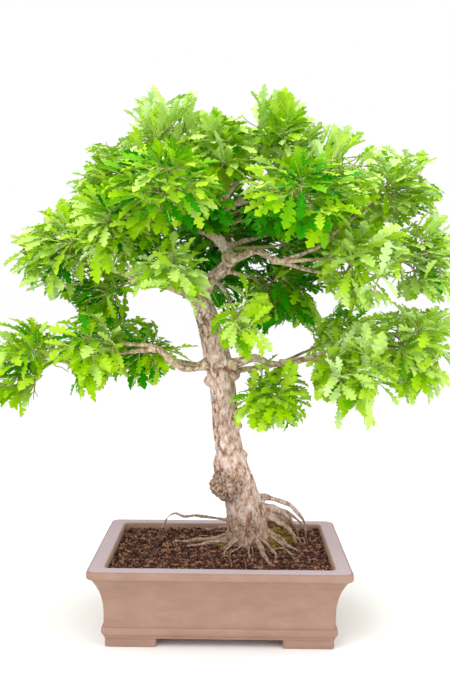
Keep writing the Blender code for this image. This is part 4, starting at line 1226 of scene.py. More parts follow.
@dataclass
class LeafMass:
    """One leaf mass: the solids' coarse twigs, finer twigs between them, and sprays of leaves."""
    branch: Branch
    cell: Cell
    start: Vector
    heading: Vector
    start_radius: float
    limbs: list[BVHTree]
    coarse_volume: float = 7.2e-4
    fine_volume: float = 0.66e-4
    fewest_coarse: int = 4
    coarse_reach: tuple[float, float] = (0.15, 0.62)
    fine_reach: tuple[float, float] = (0.12, 0.66)
    coarse_tip: float = 0.0013
    twig_tip: float = 0.00055
    twig_power: float = 0.42
    bow: float = 0.10
    site_margin: float = 0.0156
    fine_margin: float = 0.012
    site_tries: int = 30
    shortest_twig: float = 0.005
    leaf_spacing: float = 0.0026
    shoot_spacing: float = 0.0075
    shoot_share: float = 0.45
    shoot_lengths: tuple[float, float] = (0.012, 0.034)
    leaves_per_spray: int = 8
    leaf_length: float = 0.050
    tries: int = 10
    try_step: float = 0.0022
    tip_stretch: Triple = (1.5, 1.5, 1.5)
    shoot_stretch: float = 1.30
    far_from_middle: float = 0.08
    box_room: float = 0.010
    side_spread: float = 0.6
    outward_pull: float = 0.42
    bay_depth: float = 0.22
    bay_count: float = 2.3
    rim_sizes: tuple[float, float] = (0.028, 0.010)
    origin: Vector | None = None
    obstacles: list[BVHTree] = field(default_factory=list)
    nodes: list[tuple[Vector, Twig]] = field(default_factory=list)
    twigs: list[Twig] = field(default_factory=list)
    solids: list[BVHTree] = field(default_factory=list)
    spots: list[tuple[float, ...]] = field(default_factory=list)
    poses: list[tuple[LeafPose, float]] = field(default_factory=list)
    leaf_trees: list[BVHTree] = field(default_factory=list)

    def is_twig_clear(self, line: Line, radius: float, stretch: Triple = NO_STRETCH) -> bool:
        """Whether a twig stays in the space and off the limbs."""
        if not self.cell.holds(line[1:], radius * 2, stretch):
            return False
        tree = tree_of(*tube_mesh(line, [radius * 2] * len(line), 3))
        return not any(limb.overlap(tree) for limb in self.limbs)

    def bowed_line(self, start: Vector, end: Vector, rng: random.Random) -> Line:
        """Start, middle and end of a twig with a bend to one side."""
        span = end - start
        side = span.cross(random_direction(rng)).normalized() * span.length * self.bow
        return [start + span * share + side * math.sin(math.pi * share) for share in (0.0, 0.5, 1.0)]

    def add_twig(self, line: Line, parent: Twig | None) -> Twig:
        """Record a twig and the points on it that others may leave from."""
        twig = Twig(line, parent)
        self.twigs.append(twig)
        self.nodes += [(point, twig) for point in line[1:]]
        carrier: Twig | None = twig
        while carrier is not None:
            carrier.load += 1
            carrier = carrier.parent
        return twig

    def grow_stem(self, rng: random.Random) -> None:
        """The stem, from the bough's tip towards the middle of the space."""
        turn_in = self.start + self.heading * 0.008
        for share in (0.75, 0.6, 0.45, 0.3, 0.15):
            goal = turn_in.lerp(self.cell.centre, share)
            for _ in range(8):
                line = [self.start, *self.bowed_line(turn_in, goal, rng)]
                if self.is_twig_clear([line[0].lerp(line[1], 0.3), *line[1:]], self.coarse_tip):
                    self.add_twig(line, None)
                    return
        raise ValueError("no way in for the stem of " + self.branch.name)

    def spread_sites(self, count: int, rng: random.Random, shares: tuple[float, float],
                     margin: float, taken: Line) -> Line:
        """Places for sprays, each the candidate farthest from those chosen before.

        Args:
            count: How many to look for.
            rng: Source of the candidates.
            shares: Nearest and farthest place, as shares of the space's half-axes.
            margin: Distance kept from the edge of the space.
            taken: Places already used.

        Returns:
            The new places, nearest to the stem first.
        """
        sites: Line = []
        for _ in range(count):
            best, best_room = None, -1.0
            for _ in range(self.site_tries):
                way = random_direction(rng)
                reach = rng.uniform(*shares)
                point = self.cell.centre + Vector([w * r for w, r in zip(way, self.cell.radii)]) * reach
                if not self.cell.holds([point], margin):
                    continue
                room = min((point - other).length for other in [*sites, *taken])
                if room > best_room:
                    best, best_room = point, room
            if best is not None:
                sites.append(best)
        return sorted(sites, key=lambda site: (site - self.start).length)

    def grow_twigs(self, sites: Line, rng: random.Random, radius: float,
                   stretch: Triple = NO_STRETCH) -> list[Twig]:
        """One twig to each site, from the nearest point of those grown so far."""
        grown = []
        for site in sites:
            nearest = sorted(self.nodes, key=lambda node: (node[0] - site).length)
            for point, twig in nearest[:3]:
                line = self.bowed_line(point, site, rng)
                if ((site - point).length > self.shortest_twig
                        and self.is_twig_clear(line[1:], radius, stretch)):
                    grown.append(self.add_twig(line, twig))
                    break
        return grown

    def draw_out(self, twig: Twig, rng: random.Random) -> None:
        """Lengthen a twig outwards into a shoot with leaves along it."""
        tip = twig.line[-1]
        outward = (tip - self.cell.centre).normalized() + (tip - twig.line[-2]).normalized() * 0.6
        reach = outward.normalized() * rng.uniform(*self.shoot_lengths)
        more = self.bowed_line(tip, tip + reach, rng)[1:]
        sideways = self.shoot_stretch if abs(self.cell.centre.y) > self.far_from_middle else 1.0
        stretch = (sideways, self.shoot_stretch, sideways)
        if self.is_twig_clear([tip, *more], self.twig_tip * 1.5, stretch):
            twig.line = [*twig.line, *more]
            twig.is_shoot = True
            twig.stretch = stretch

    def grow_tips(self, rng: random.Random) -> None:
        """Grow the long outer shoots, whose last leaves reach past the rest."""
        for tip_mm in OUTER_TIPS_MM.get(self.branch.name, ()):
            tip = metres(tip_mm)
            inward = (self.cell.centre - tip).normalized()
            for twig in self.grow_twigs([tip + inward * self.leaf_length * 1.2], rng,
                                        self.twig_tip * 1.5, self.tip_stretch):
                twig.line.append(twig.line[-1] - inward * 0.012)
                twig.is_shoot = True
                twig.stretch = self.tip_stretch

    def radius_of(self, twig: Twig) -> float:
        """Radius of a twig at its root, from the number of sprays that it carries."""
        return min(self.twig_tip * (1 + twig.load) ** self.twig_power, self.start_radius * 0.95)

    def twig_radii(self, twig: Twig, count: int) -> list[float]:
        """Radius at each of `count` points of a twig."""
        first = self.start_radius if twig.parent is None else self.radius_of(twig)
        last = self.radius_of(twig) * 0.8 if twig.parent is None else self.twig_tip
        return [first + (last - first) * part / (count - 1) for part in range(count)]

    def grow_spray(self, twig: Twig, rng: random.Random) -> None:
        """Leaves in a spiral round the end of a twig, or along it where it is a shoot."""
        length = lengths_along(twig.line)[-1]
        spin = rng.uniform(0, 2 * math.pi)
        tint = rng.random()
        spacing = self.shoot_spacing if twig.is_shoot else self.leaf_spacing
        farthest = 0.0
        for number in range(self.leaves_per_spray):
            own_tint = 0.6 * tint + 0.4 * rng.random()
            for attempt in range(self.tries):
                back = min(spacing * number + self.try_step * attempt, length * 0.92)
                pose = self.pose_at(twig, 1 - back / length, number, attempt, spin, rng)
                outline = pose.outline()
                if self.is_leaf_clear(outline, twig.stretch):
                    tree = tree_of(outline, OUTLINE_FACES)
                    self.keep_off(tree, outline)
                    self.leaf_trees.append(tree)
                    self.poses.append((pose, own_tint))
                    self.mark_leafy(twig)
                    farthest = max(farthest, 1 - back / length)
                    break
        if twig.load == 1 and 0.0 < farthest < 1.0:
            kept = [point for point, reach in zip(twig.line, lengths_along(twig.line))
                    if reach < farthest * length]
            twig.line = [*kept, point_at(twig.line, farthest)]

    def mark_leafy(self, twig: Twig | None) -> None:
        """Mark a twig and all that carry it as bearing leaves."""
        while twig is not None and not twig.is_leafy:
            twig.is_leafy = True
            twig = twig.parent

    def pose_at(self, twig: Twig, share: float, number: int, attempt: int, spin: float,
                rng: random.Random) -> LeafPose:
        """One leaf's place and bend: it leaves its twig at a slant and spreads outwards.

        Args:
            twig: The twig that carries it.
            share: Where along the twig it sits.
            number: Its place in the spiral, from the tip.
            attempt: How often the leaf has been moved to find room.
            spin: Where the spiral starts.
            rng: Source of the bends.

        Returns:
            The pose.
        """
        root = point_at(twig.line, share)
        axis = (point_at(twig.line, min(share + 0.05, 1.0)) - point_at(twig.line, share - 0.05)).normalized()
        outward = (root - self.start).normalized() + (root - self.cell.centre) / self.cell.radii.x
        outward.y *= self.side_spread
        outward.normalize()
        hang = max(self.branch.droop, 0.0)
        lean = math.radians(16 + min(number, 6) * 9 + 3 * attempt)
        turn = Quaternion(axis, spin + GOLDEN_ANGLE * number + attempt * 0.35)
        way = turn @ (axis * math.cos(lean) + axis.orthogonal().normalized() * math.sin(lean))
        way = way + outward * self.outward_pull - Vector((0, 0, 0.55 * self.branch.droop))
        way.z *= 0.70 + 0.30 * hang if self.branch.droop > -0.05 else 1.15
        way.normalize()
        face_up = (Vector((0, -0.10 - 0.45 * hang, 1)) + outward * (0.10 + 0.45 * hang)
                   + random_direction(rng) * 0.38)
        length = self.leaf_length * rng.uniform(0.70, 1.14) * (1 - 0.03 * attempt)
        return LeafPose(root, way, face_up, length, rng.uniform(0.003, 0.007),
                        rng.uniform(0.05, 0.45 + 0.85 * hang), rng.uniform(0.05, 0.65),
                        rng.uniform(0.0, 0.30), rng.uniform(-0.5, 0.5))

    def keep_off(self, tree: BVHTree, points: Line) -> None:
        """Record something that later leaves keep off, with the ball round it."""
        middle = sum(points, Vector((0, 0, 0))) / len(points)
        self.solids.append(tree)
        self.spots.append((*middle, max((point - middle).length for point in points)))

    def is_open(self, point: Vector) -> bool:
        """Whether the front view shows open sky at a point."""
        depth = -FRONT_EYE.y / (point.y - FRONT_EYE.y)
        across = (FRONT_EYE.x + (point.x - FRONT_EYE.x) * depth) * 1000
        height = (FRONT_EYE.z + (point.z - FRONT_EYE.z) * depth) * 1000
        coarse, fine = (noise.noise(point / size) for size in self.rim_sizes)
        return any(((across - x) / half_x) ** 2 + ((height - z) / half_z) ** 2 < 1 + coarse + fine
                   for x, z, half_x, half_z in OPENINGS_MM)

    def scaled(self, point: Vector) -> Vector:
        """A point's offset from the middle of the mass, as shares of its half-axes."""
        return Vector([value / radius for value, radius in zip(point - self.cell.centre, self.cell.radii)])

    def is_in_reach(self, point: Vector) -> bool:
        """Whether a point lies inside the mass's uneven outline, which has shallow bays."""
        scaled = self.scaled(point)
        depth = scaled.length
        bays = noise.noise(scaled / max(depth, 0.01) * self.bay_count + self.cell.centre * 37.0)
        return depth < 1.0 + min(self.bay_depth * bays, 0.0)

    def is_leaf_clear(self, outline: Line, stretch: Triple) -> bool:
        """Whether a leaf stays in the space and off the limbs, twigs and leaves."""
        if not self.cell.holds(outline, 0.0, stretch) or any(self.is_open(point) for point in outline[5:]):
            return False
        if any(not low - self.box_room < value < high + self.box_room
               for point in outline for value, low, high in zip(point, *CAD_BOX)):
            return False
        if stretch == NO_STRETCH and not all(self.is_in_reach(point) for point in outline[3:8]):
            return False
        tree = tree_of(outline, OUTLINE_FACES)
        middle = np.array(sum(outline, Vector((0, 0, 0))) / len(outline))
        reach = max((point - Vector(middle)).length for point in outline)
        spots = np.array(self.spots)
        near = np.nonzero(np.linalg.norm(spots[:, :3] - middle, axis=1) < spots[:, 3] + reach)[0]
        return not any(self.solids[index].overlap(tree) for index in near)

    def grow(self) -> None:
        """Grow the twigs by the solids' rule, then the finer ones, then the leaves."""
        rng = random.Random(self.branch.name)
        self.grow_stem(rng)
        coarse = max(self.fewest_coarse, round(self.cell.volume() / self.coarse_volume))
        sites = self.spread_sites(coarse, rng, self.coarse_reach, self.site_margin, [self.start])
        self.grow_twigs(sites, rng, self.coarse_tip)
        finer = random.Random(self.branch.name + " fine")
        fine = round(self.cell.volume() / self.fine_volume)
        more = self.spread_sites(fine, finer, self.fine_reach, self.fine_margin, [self.start, *sites])
        for twig in self.grow_twigs(more, finer, self.twig_tip * 1.5):
            if finer.random() < self.shoot_share:
                self.draw_out(twig, finer)
        self.grow_tips(finer)
        for tree in (*self.limbs, *self.obstacles):
            self.solids.append(tree)
            self.spots.append((*self.cell.centre, 1.0))
        for twig in self.twigs:
            self.keep_off(tree_of(*tube_mesh(twig.line, [self.twig_tip] * len(twig.line), 3)), twig.line)
        for twig in sorted(self.twigs, key=lambda one: max(one.stretch), reverse=True):
            self.grow_spray(twig, finer)
        self.twigs = [twig for twig in self.twigs if twig.is_leafy]


@dataclass
class Crown:
    """All the leaf masses, joined into one piece of twigs, one of ribs and one for each green."""
    skeleton: Skeleton
    twig_sides: int = 5
    twig_step: float = 0.009
    rib_width: float = 0.0013
    shape_count: int = 8
    # Painted light and shade on the leaves: greens grow paler away from this middle and towards the top, and
    # darker deep inside a mass.
    centre: Triple = (0.0, 0.0, 0.53)
    reach: Triple = (0.34, 0.26, 0.25)
    back_share: float = 0.35
    front_share: float = 0.50
    inner_shade: float = 0.60
    inner_limit: float = 0.75
    depth_share: float = 0.95
    height_share: float = 0.20
    chance_share: float = 1.15
    base_painted_light: float = 0.25
    tint_limits: tuple[tuple[float, LeafTint], ...] = (
        (0.22, LeafTint.SHADE), (0.42, LeafTint.DEEP), (0.63, LeafTint.MID),
        (0.85, LeafTint.BRIGHT), (1.18, LeafTint.FRESH), (math.inf, LeafTint.PALE))

    def grow_masses(self) -> list[LeafMass]:
        """Grow every mass in its own space."""
        trees = [limb.tree for limb in self.skeleton.limbs.values()]
        masses = []
        for branch in (*BRANCHES, LEADER):
            limb = self.skeleton.limbs["trunk" if branch is LEADER else branch.name]
            heading = limb.heading()
            mass = LeafMass(branch, self.skeleton.cells[branch.name], limb.line[-1] + heading * 0.0003,
                            heading, limb.radii[-1], trees)
            mass.fine_volume *= DENSE_MASSES.get(branch.name, 1.0)
            mass.grow()
            masses.append(mass)
        return [*masses, *self.grow_inner(masses, trees)]

    def grow_inner(self, masses: list[LeafMass], trees: list[BVHTree]) -> list[LeafMass]:
        """Grow the sprays round the upper trunk, clear of the limbs' trees and all the masses."""
        taken = [tree for mass in masses for tree in mass.leaf_trees]
        inner = []
        trunk = self.skeleton.limbs["trunk"]
        for branch in INNER:
            cell = Cell(branch, (*INNER, *BRANCHES, LEADER))
            root = point_at(trunk.line, branch.at)
            heading = (cell.centre - root).normalized()
            start = root + heading * (trunk.radii[-6] + 0.004)
            while not cell.holds([start], 0.004):
                start += heading * 0.002
            mass = LeafMass(branch, cell, start, heading, branch.radius, trees)
            mass.origin = root
            mass.obstacles = taken
            mass.grow()
            inner.append(mass)
        return inner

    def tint_of(self, mass: LeafMass, place: Vector, chance: float) -> LeafTint:
        """The green of a leaf, painted paler towards the outside and the top and darker deep in a mass, as
        painted light and shade, with a share left to chance.

        Args:
            mass: The mass that it grows in.
            place: The leaf's place.
            chance: A number from 0 to 1 drawn for the leaf and its spray.

        Returns:
            Its tint.
        """
        inner = max(0.0, 1 - mass.scaled(place).length / self.inner_limit)
        painted_light = MASS_PAINTED_LIGHT.get(mass.branch.name, 0.0) - self.inner_shade * inner
        offset = [(value - middle) / half for value, middle, half in zip(place, self.centre, self.reach)]
        offset[1] *= self.front_share if offset[1] < 0 else self.back_share
        depth = math.sqrt(sum(value * value for value in offset))
        score = (depth * self.depth_share + self.height_share * offset[2]
                 + (chance - 0.5) * self.chance_share + painted_light + self.base_painted_light)
        return next(tint for limit, tint in self.tint_limits if score < limit)

    def build(self) -> None:
        """Grow the crown and dress its pieces."""
        rng = random.Random("oak leaves")
        shapes = [LeafShape().variant(rng) for _ in range(self.shape_count)]
        masses = self.grow_masses()
        nodes = tuple(branch.mass_node for branch in (*BRANCHES, LEADER))
        twigs, ribs = MeshStore(), MeshStore()
        blades = {tint: MeshStore() for tint in LeafTint}
        for mass in masses:
            self.add_twigs(twigs, mass)
            for pose, chance in mass.poses:
                points, faces, marks = leaf_blade(rng.choice(shapes), pose)
                # A leaf's green is painted light and shade for its place in the crown, plus chance.
                blades[self.tint_of(mass, pose.root, chance)].add(points, faces, marks=marks)
                ribs.add(leaf_rib(pose, self.rib_width), RIB_QUADS, RIB_CAPS)
        LOG.info("%d leaves on %d twigs", sum(len(mass.poses) for mass in masses),
                 sum(len(mass.twigs) for mass in masses))
        dress(twigs.to_object("twigs"), "bark", nodes, TWIG_BARK)
        dress(ribs.to_object("leaf_ribs"), "leaves", nodes, RIB)
        for tint, store in blades.items():
            dress(store.to_object("leaves_" + tint.name.lower() + "_green"), "leaves", nodes,
                  leaf_finish(tint, False), leaf_finish(tint, True))

    def add_twigs(self, store: MeshStore, mass: LeafMass) -> None:
        """Add the tubes of a mass's twigs to the store."""
        for twig in mass.twigs:
            line = twig.line
            if twig.parent is None:
                line = [mass.origin or line[0] - mass.heading * 0.003, *line[1:]]
            limb = Limb(line, mass.twig_radii(twig, len(line))).resampled(self.twig_step)
            store.add_tube(tube_mesh(limb.line, limb.radii, self.twig_sides)[0], self.twig_sides)


# ---------------------------------------------------------------- pot and soil

@dataclass
class Pot:
    """Unglazed rectangular pot: rolled lip, cove, bead, four corner feet and two drains."""
    length: float = 0.360
    depth: float = 0.280
    height: float = 0.110
    corner: float = 0.012
    corner_steps: int = 8
    grid: float = 0.005
    foot_height: float = 0.012
    foot_length: float = 0.070
    foot_depth: float = 0.055
    foot_inset: float = 0.0235
    foot_corner: float = 0.003
    lip_thickness: float = 0.012
    lip_rounding: float = 0.0034
    cove_top_inset: float = 0.004
    cove_bottom: float = 0.040
    cove_power: float = 2.5
    body_inset: float = 0.021
    bead_height: float = 0.0225
    bead_half: float = 0.0058
    bead_inset: float = 0.0180
    rim_width: float = 0.025
    wall: float = 0.009
    floor_top: float = 0.022
    drain_radius: float = 0.014
    drain_spacing: float = 0.150
    drain_sides: int = 32
    unevenness: float = 0.00035
    sharp_angle: float = 38.0

    def profile(self) -> list[tuple[float, float]]:
        """Inset and height from the underside up the outside and down the inside."""
        lip_bottom = self.height - self.lip_thickness
        profile = [(self.body_inset + 0.004, self.foot_height),
                   (self.body_inset + 0.001, self.foot_height + 0.0006),
                   (self.body_inset, self.foot_height + 0.002)]
        for step in range(9):
            angle = -math.pi / 2 + math.pi * step / 8
            profile.append((self.body_inset - (self.body_inset - self.bead_inset) * math.cos(angle) ** 0.7,
                            self.bead_height + self.bead_half * math.sin(angle)))
        profile += [(self.body_inset, self.bead_height + self.bead_half + 0.004),
                    (self.body_inset, self.cove_bottom - 0.004)]
        for step in range(25):
            rise = step / 24
            reach = (self.body_inset - self.cove_top_inset) * rise ** self.cove_power
            profile.append((self.body_inset - reach,
                            self.cove_bottom + (lip_bottom - self.cove_bottom) * rise))
        profile += self.rounded(self.lip_rounding, lip_bottom + self.lip_rounding, math.pi * 1.5, math.pi)
        profile += self.rounded(self.lip_rounding, self.height - self.lip_rounding, math.pi, math.pi / 2)
        profile += [(self.rim_width * share, self.height) for share in (0.3, 0.5, 0.7)]
        profile += self.rounded(self.rim_width - self.lip_rounding, self.height - self.lip_rounding,
                                math.pi / 2, 0.0)
        profile += [(self.rim_width, self.height - 0.009), (self.body_inset + self.wall, self.height - 0.024),
                    (self.body_inset + self.wall, 0.060), (self.body_inset + self.wall, self.floor_top)]
        return profile

    def rounded(self, inset: float, height: float, first: float, last: float) -> list[tuple[float, float]]:
        """Insets and heights along a quarter round of the lip, between two angles where 0 points inwards."""
        return [(inset + self.lip_rounding * math.cos(first + (last - first) * step / 5),
                 height + self.lip_rounding * math.sin(first + (last - first) * step / 5))
                for step in range(6)]

    def ring(self, inset: float, height: float) -> Line:
        """The plan outline moved in by `inset`, with rounded corners and evenly divided sides."""
        half_length = self.length / 2 - inset
        half_depth = self.depth / 2 - inset
        radius = max(self.corner - inset * 0.2, 0.004)
        corners = []
        for number, (sign_x, sign_y) in enumerate(CORNERS):
            middle = Vector((sign_x * (half_length - radius), sign_y * (half_depth - radius), height))
            corners.append([middle + level_vector(math.pi / 2 * (number + step / self.corner_steps)) * radius
                            for step in range(self.corner_steps + 1)])
        points: Line = []
        for number, corner in enumerate(corners):
            points += corner
            following = corners[(number + 1) % 4][0]
            span = self.length if number % 2 == 0 else self.depth
            parts = round(span / self.grid)
            points += [corner[-1].lerp(following, part / parts) for part in range(1, parts)]
        return points

    def loft(self, rings: list[Line], name: str) -> bpy.types.Object:
        """Closed mesh through rings of equal size, from the first cap to the last."""
        size = len(rings[0])
        vertices = [point for ring in rings for point in ring]
        faces = [tuple(range(size)), tuple(range(len(vertices) - size, len(vertices)))]
        faces += tube_quads(len(rings), size)
        mesh = bpy.data.meshes.new(name)
        mesh.from_pydata([tuple(vertex) for vertex in vertices], [], faces)
        shape = bmesh.new()
        shape.from_mesh(mesh)
        bmesh.ops.recalc_face_normals(shape, faces=shape.faces)
        shape.to_mesh(mesh)
        shape.free()
        return add_object(name, mesh)

    def foot(self, sign_x: int, sign_y: int) -> bpy.types.Object:
        """One corner foot: an upright block with softened edges."""
        half_x, half_y = self.foot_length / 2, self.foot_depth / 2
        centre = Vector((sign_x * (self.length / 2 - self.foot_inset - half_x),
                         sign_y * (self.depth / 2 - self.foot_inset - half_y), 0))
        top = (self.foot_height + self.floor_top) / 2
        rings = []
        for inset, height in ((0.0012, 0.0), (0.0004, 0.0004), (0.0, 0.0014), (0.0, top)):
            ring = []
            for number, (way_x, way_y) in enumerate(CORNERS):
                out_x = way_x * (half_x - inset - self.foot_corner)
                out_y = way_y * (half_y - inset - self.foot_corner)
                for step in range(5):
                    angle = math.pi / 2 * (number + step / 4)
                    ring.append(centre + Vector((out_x + self.foot_corner * math.cos(angle),
                                                 out_y + self.foot_corner * math.sin(angle), height)))
            rings.append(ring)
        return self.loft(rings, "foot")

    def drain(self, sign_x: int) -> bpy.types.Object:
        """Cutter for one drain hole."""
        centre = Vector((sign_x * self.drain_spacing / 2, 0, 0))
        rings = [[centre + level_vector(2 * math.pi * side / self.drain_sides) * self.drain_radius
                  + Vector((0, 0, height)) for side in range(self.drain_sides)]
                 for height in (self.foot_height / 2, self.floor_top * 1.3)]
        return self.loft(rings, "drain")

    def combine(self, body: bpy.types.Object, operation: str, tools: list[bpy.types.Object]) -> None:
        """Join or cut the body with other objects and drop them."""
        group = bpy.data.collections.new(operation.lower())
        bpy.context.scene.collection.children.link(group)
        for tool in tools:
            bpy.context.scene.collection.objects.unlink(tool)
            group.objects.link(tool)
        step = body.modifiers.new(operation.title(), "BOOLEAN")
        step.operation = operation
        step.solver = "EXACT"
        step.operand_type = "COLLECTION"
        step.collection = group
        result = evaluated_mesh(body)
        body.modifiers.remove(step)
        body.data = result
        for tool in tools:
            bpy.data.objects.remove(tool, do_unlink=True)
        bpy.data.collections.remove(group)

    def weather(self, body: bpy.types.Object) -> None:
        """Make the clay's faces a little uneven, as hand-pressed clay is."""
        for vertex in body.data.vertices:
            if vertex.co.z > self.foot_height + 0.001:
                sway = noise.noise(vertex.co / 0.045) + 0.25 * noise.noise(vertex.co / 0.009)
                vertex.co += vertex.normal * (sway - 0.6) * self.unevenness

    def build(self) -> None:
        """Build and dress the pot."""
        body = self.loft([self.ring(inset, height) for inset, height in self.profile()], "clay_pot")
        self.weather(body)
        self.combine(body, "UNION", [self.foot(x, y) for x in (-1, 1) for y in (-1, 1)])
        self.combine(body, "DIFFERENCE", [self.drain(sign) for sign in (-1, 1)])
        body.data.shade_smooth()
        body.data.set_sharp_from_angle(angle=math.radians(self.sharp_angle))
        dress(body, "pot_clay", ("pot",), CLAY)


CORNERS = ((1, 1), (-1, 1), (-1, -1), (1, -1))


def level_vector(angle: float) -> Vector:
    """Unit vector at an angle from +X in the level plane."""
    return Vector((math.cos(angle), math.sin(angle), 0))


@dataclass
class Soil:
    """Bed of damp soil with loose granules on it."""
    half_length: float = 0.1545
    half_depth: float = 0.1145
    bottom: float = 0.0223
    top: float = 0.1020
    bumps: float = 0.0014
    grid: tuple[int, int] = (84, 62)
    seed: int = 11
    clearance: float = 0.0008
    mounds: tuple[tuple[float, ...], ...] = ((0.082, 0.048, 0.034, 0.030, 0.0360),
                                             (0.072, 0.024, 0.028, 0.024, 0.0190),
                                             (-0.004, 0.036, 0.016, 0.022, 0.0060))

    def bed(self) -> bpy.types.Object:
        """The bed as a closed block with an uneven top."""
        columns, rows = self.grid
        shape = bmesh.new()
        bmesh.ops.create_grid(shape, x_segments=columns, y_segments=rows, size=1.0)
        for vertex in shape.verts:
            place = Vector((vertex.co.x * self.half_length, vertex.co.y * self.half_depth, 0))
            lift = noise.noise(place / 0.02) * self.bumps + noise.noise(place / 0.006) * self.bumps * 0.5
            edge = min(self.half_length - abs(place.x), self.half_depth - abs(place.y))
            vertex.co = place + Vector((0, 0, self.top + lift - 0.002 * (1 - smooth_step(edge, 0.0, 0.01))))
        lower = bmesh.ops.extrude_edge_only(shape, edges=self.rim_of(shape))
        for item in lower["geom"]:
            if isinstance(item, bmesh.types.BMVert):
                item.co.z = self.bottom
        bmesh.ops.holes_fill(shape, edges=self.rim_of(shape))
        bmesh.ops.recalc_face_normals(shape, faces=shape.faces)
        return shape_object("soil_bed", shape)

    def rim_of(self, shape: bmesh.types.BMesh) -> list[bmesh.types.BMEdge]:
        """The open edges of a shape."""
        return [edge for edge in shape.edges if edge.is_boundary]

    def scatter_plane(self) -> bpy.types.Object:
        """The sheet on which the granules are scattered."""
        shape = bmesh.new()
        bmesh.ops.create_grid(shape, x_segments=1, y_segments=1, size=1.0)
        for vertex in shape.verts:
            vertex.co = Vector((vertex.co.x * (self.half_length - 0.001),
                                vertex.co.y * (self.half_depth - 0.001), self.top + 0.0004))
        return shape_object("granule_sheet", shape)

    def moss_sheet(self) -> bpy.types.Object:
        """Low mounds under the arching roots, on which the moss is scattered."""
        shape = bmesh.new()
        for x, y, half_x, half_y, rise in self.mounds:
            made = bmesh.ops.create_grid(shape, x_segments=14, y_segments=14, size=1.0)
            for vertex in made["verts"]:
                share = max(0.0, 1 - (vertex.co.x ** 2 + vertex.co.y ** 2))
                place = Vector((x + vertex.co.x * half_x, y + vertex.co.y * half_y, 0))
                lift = noise.noise(place / 0.007) * 0.006 * share
                vertex.co = place + Vector((0, 0, self.top - 0.0015 + rise * share ** 0.7 + lift))
        return shape_object("moss_sheet", shape)

    def build(self, bark: bpy.types.Object) -> None:
        """Build and dress the bed, both kinds of granule and the moss.

        Args:
            bark: The trunk's skin, which the granules keep off.
        """
        dress(self.bed(), "soil", ("soil",), SOIL)
        for number, (name, finish, sheet, spacing, density, smallest, largest) in enumerate((
                ("granules_dark", GRAIN_DARK, self.scatter_plane(), 0.0027, 90000.0, 0.0010, 0.0031),
                ("granules_tan", GRAIN_TAN, self.scatter_plane(), 0.0045, 20000.0, 0.0008, 0.0026),
                ("moss", MOSS, self.moss_sheet(), 0.0012, 560000.0, 0.0007, 0.0019))):
            inputs = {"Spacing": spacing, "Density": density, "Smallest": smallest, "Largest": largest,
                      "Bark": bark, "Clearance": self.clearance, "Seed": self.seed + number}
            piece = run_nodes(sheet, GranuleTree(finish).build(), inputs, name)
            dress(piece, "soil", ("soil",), finish)


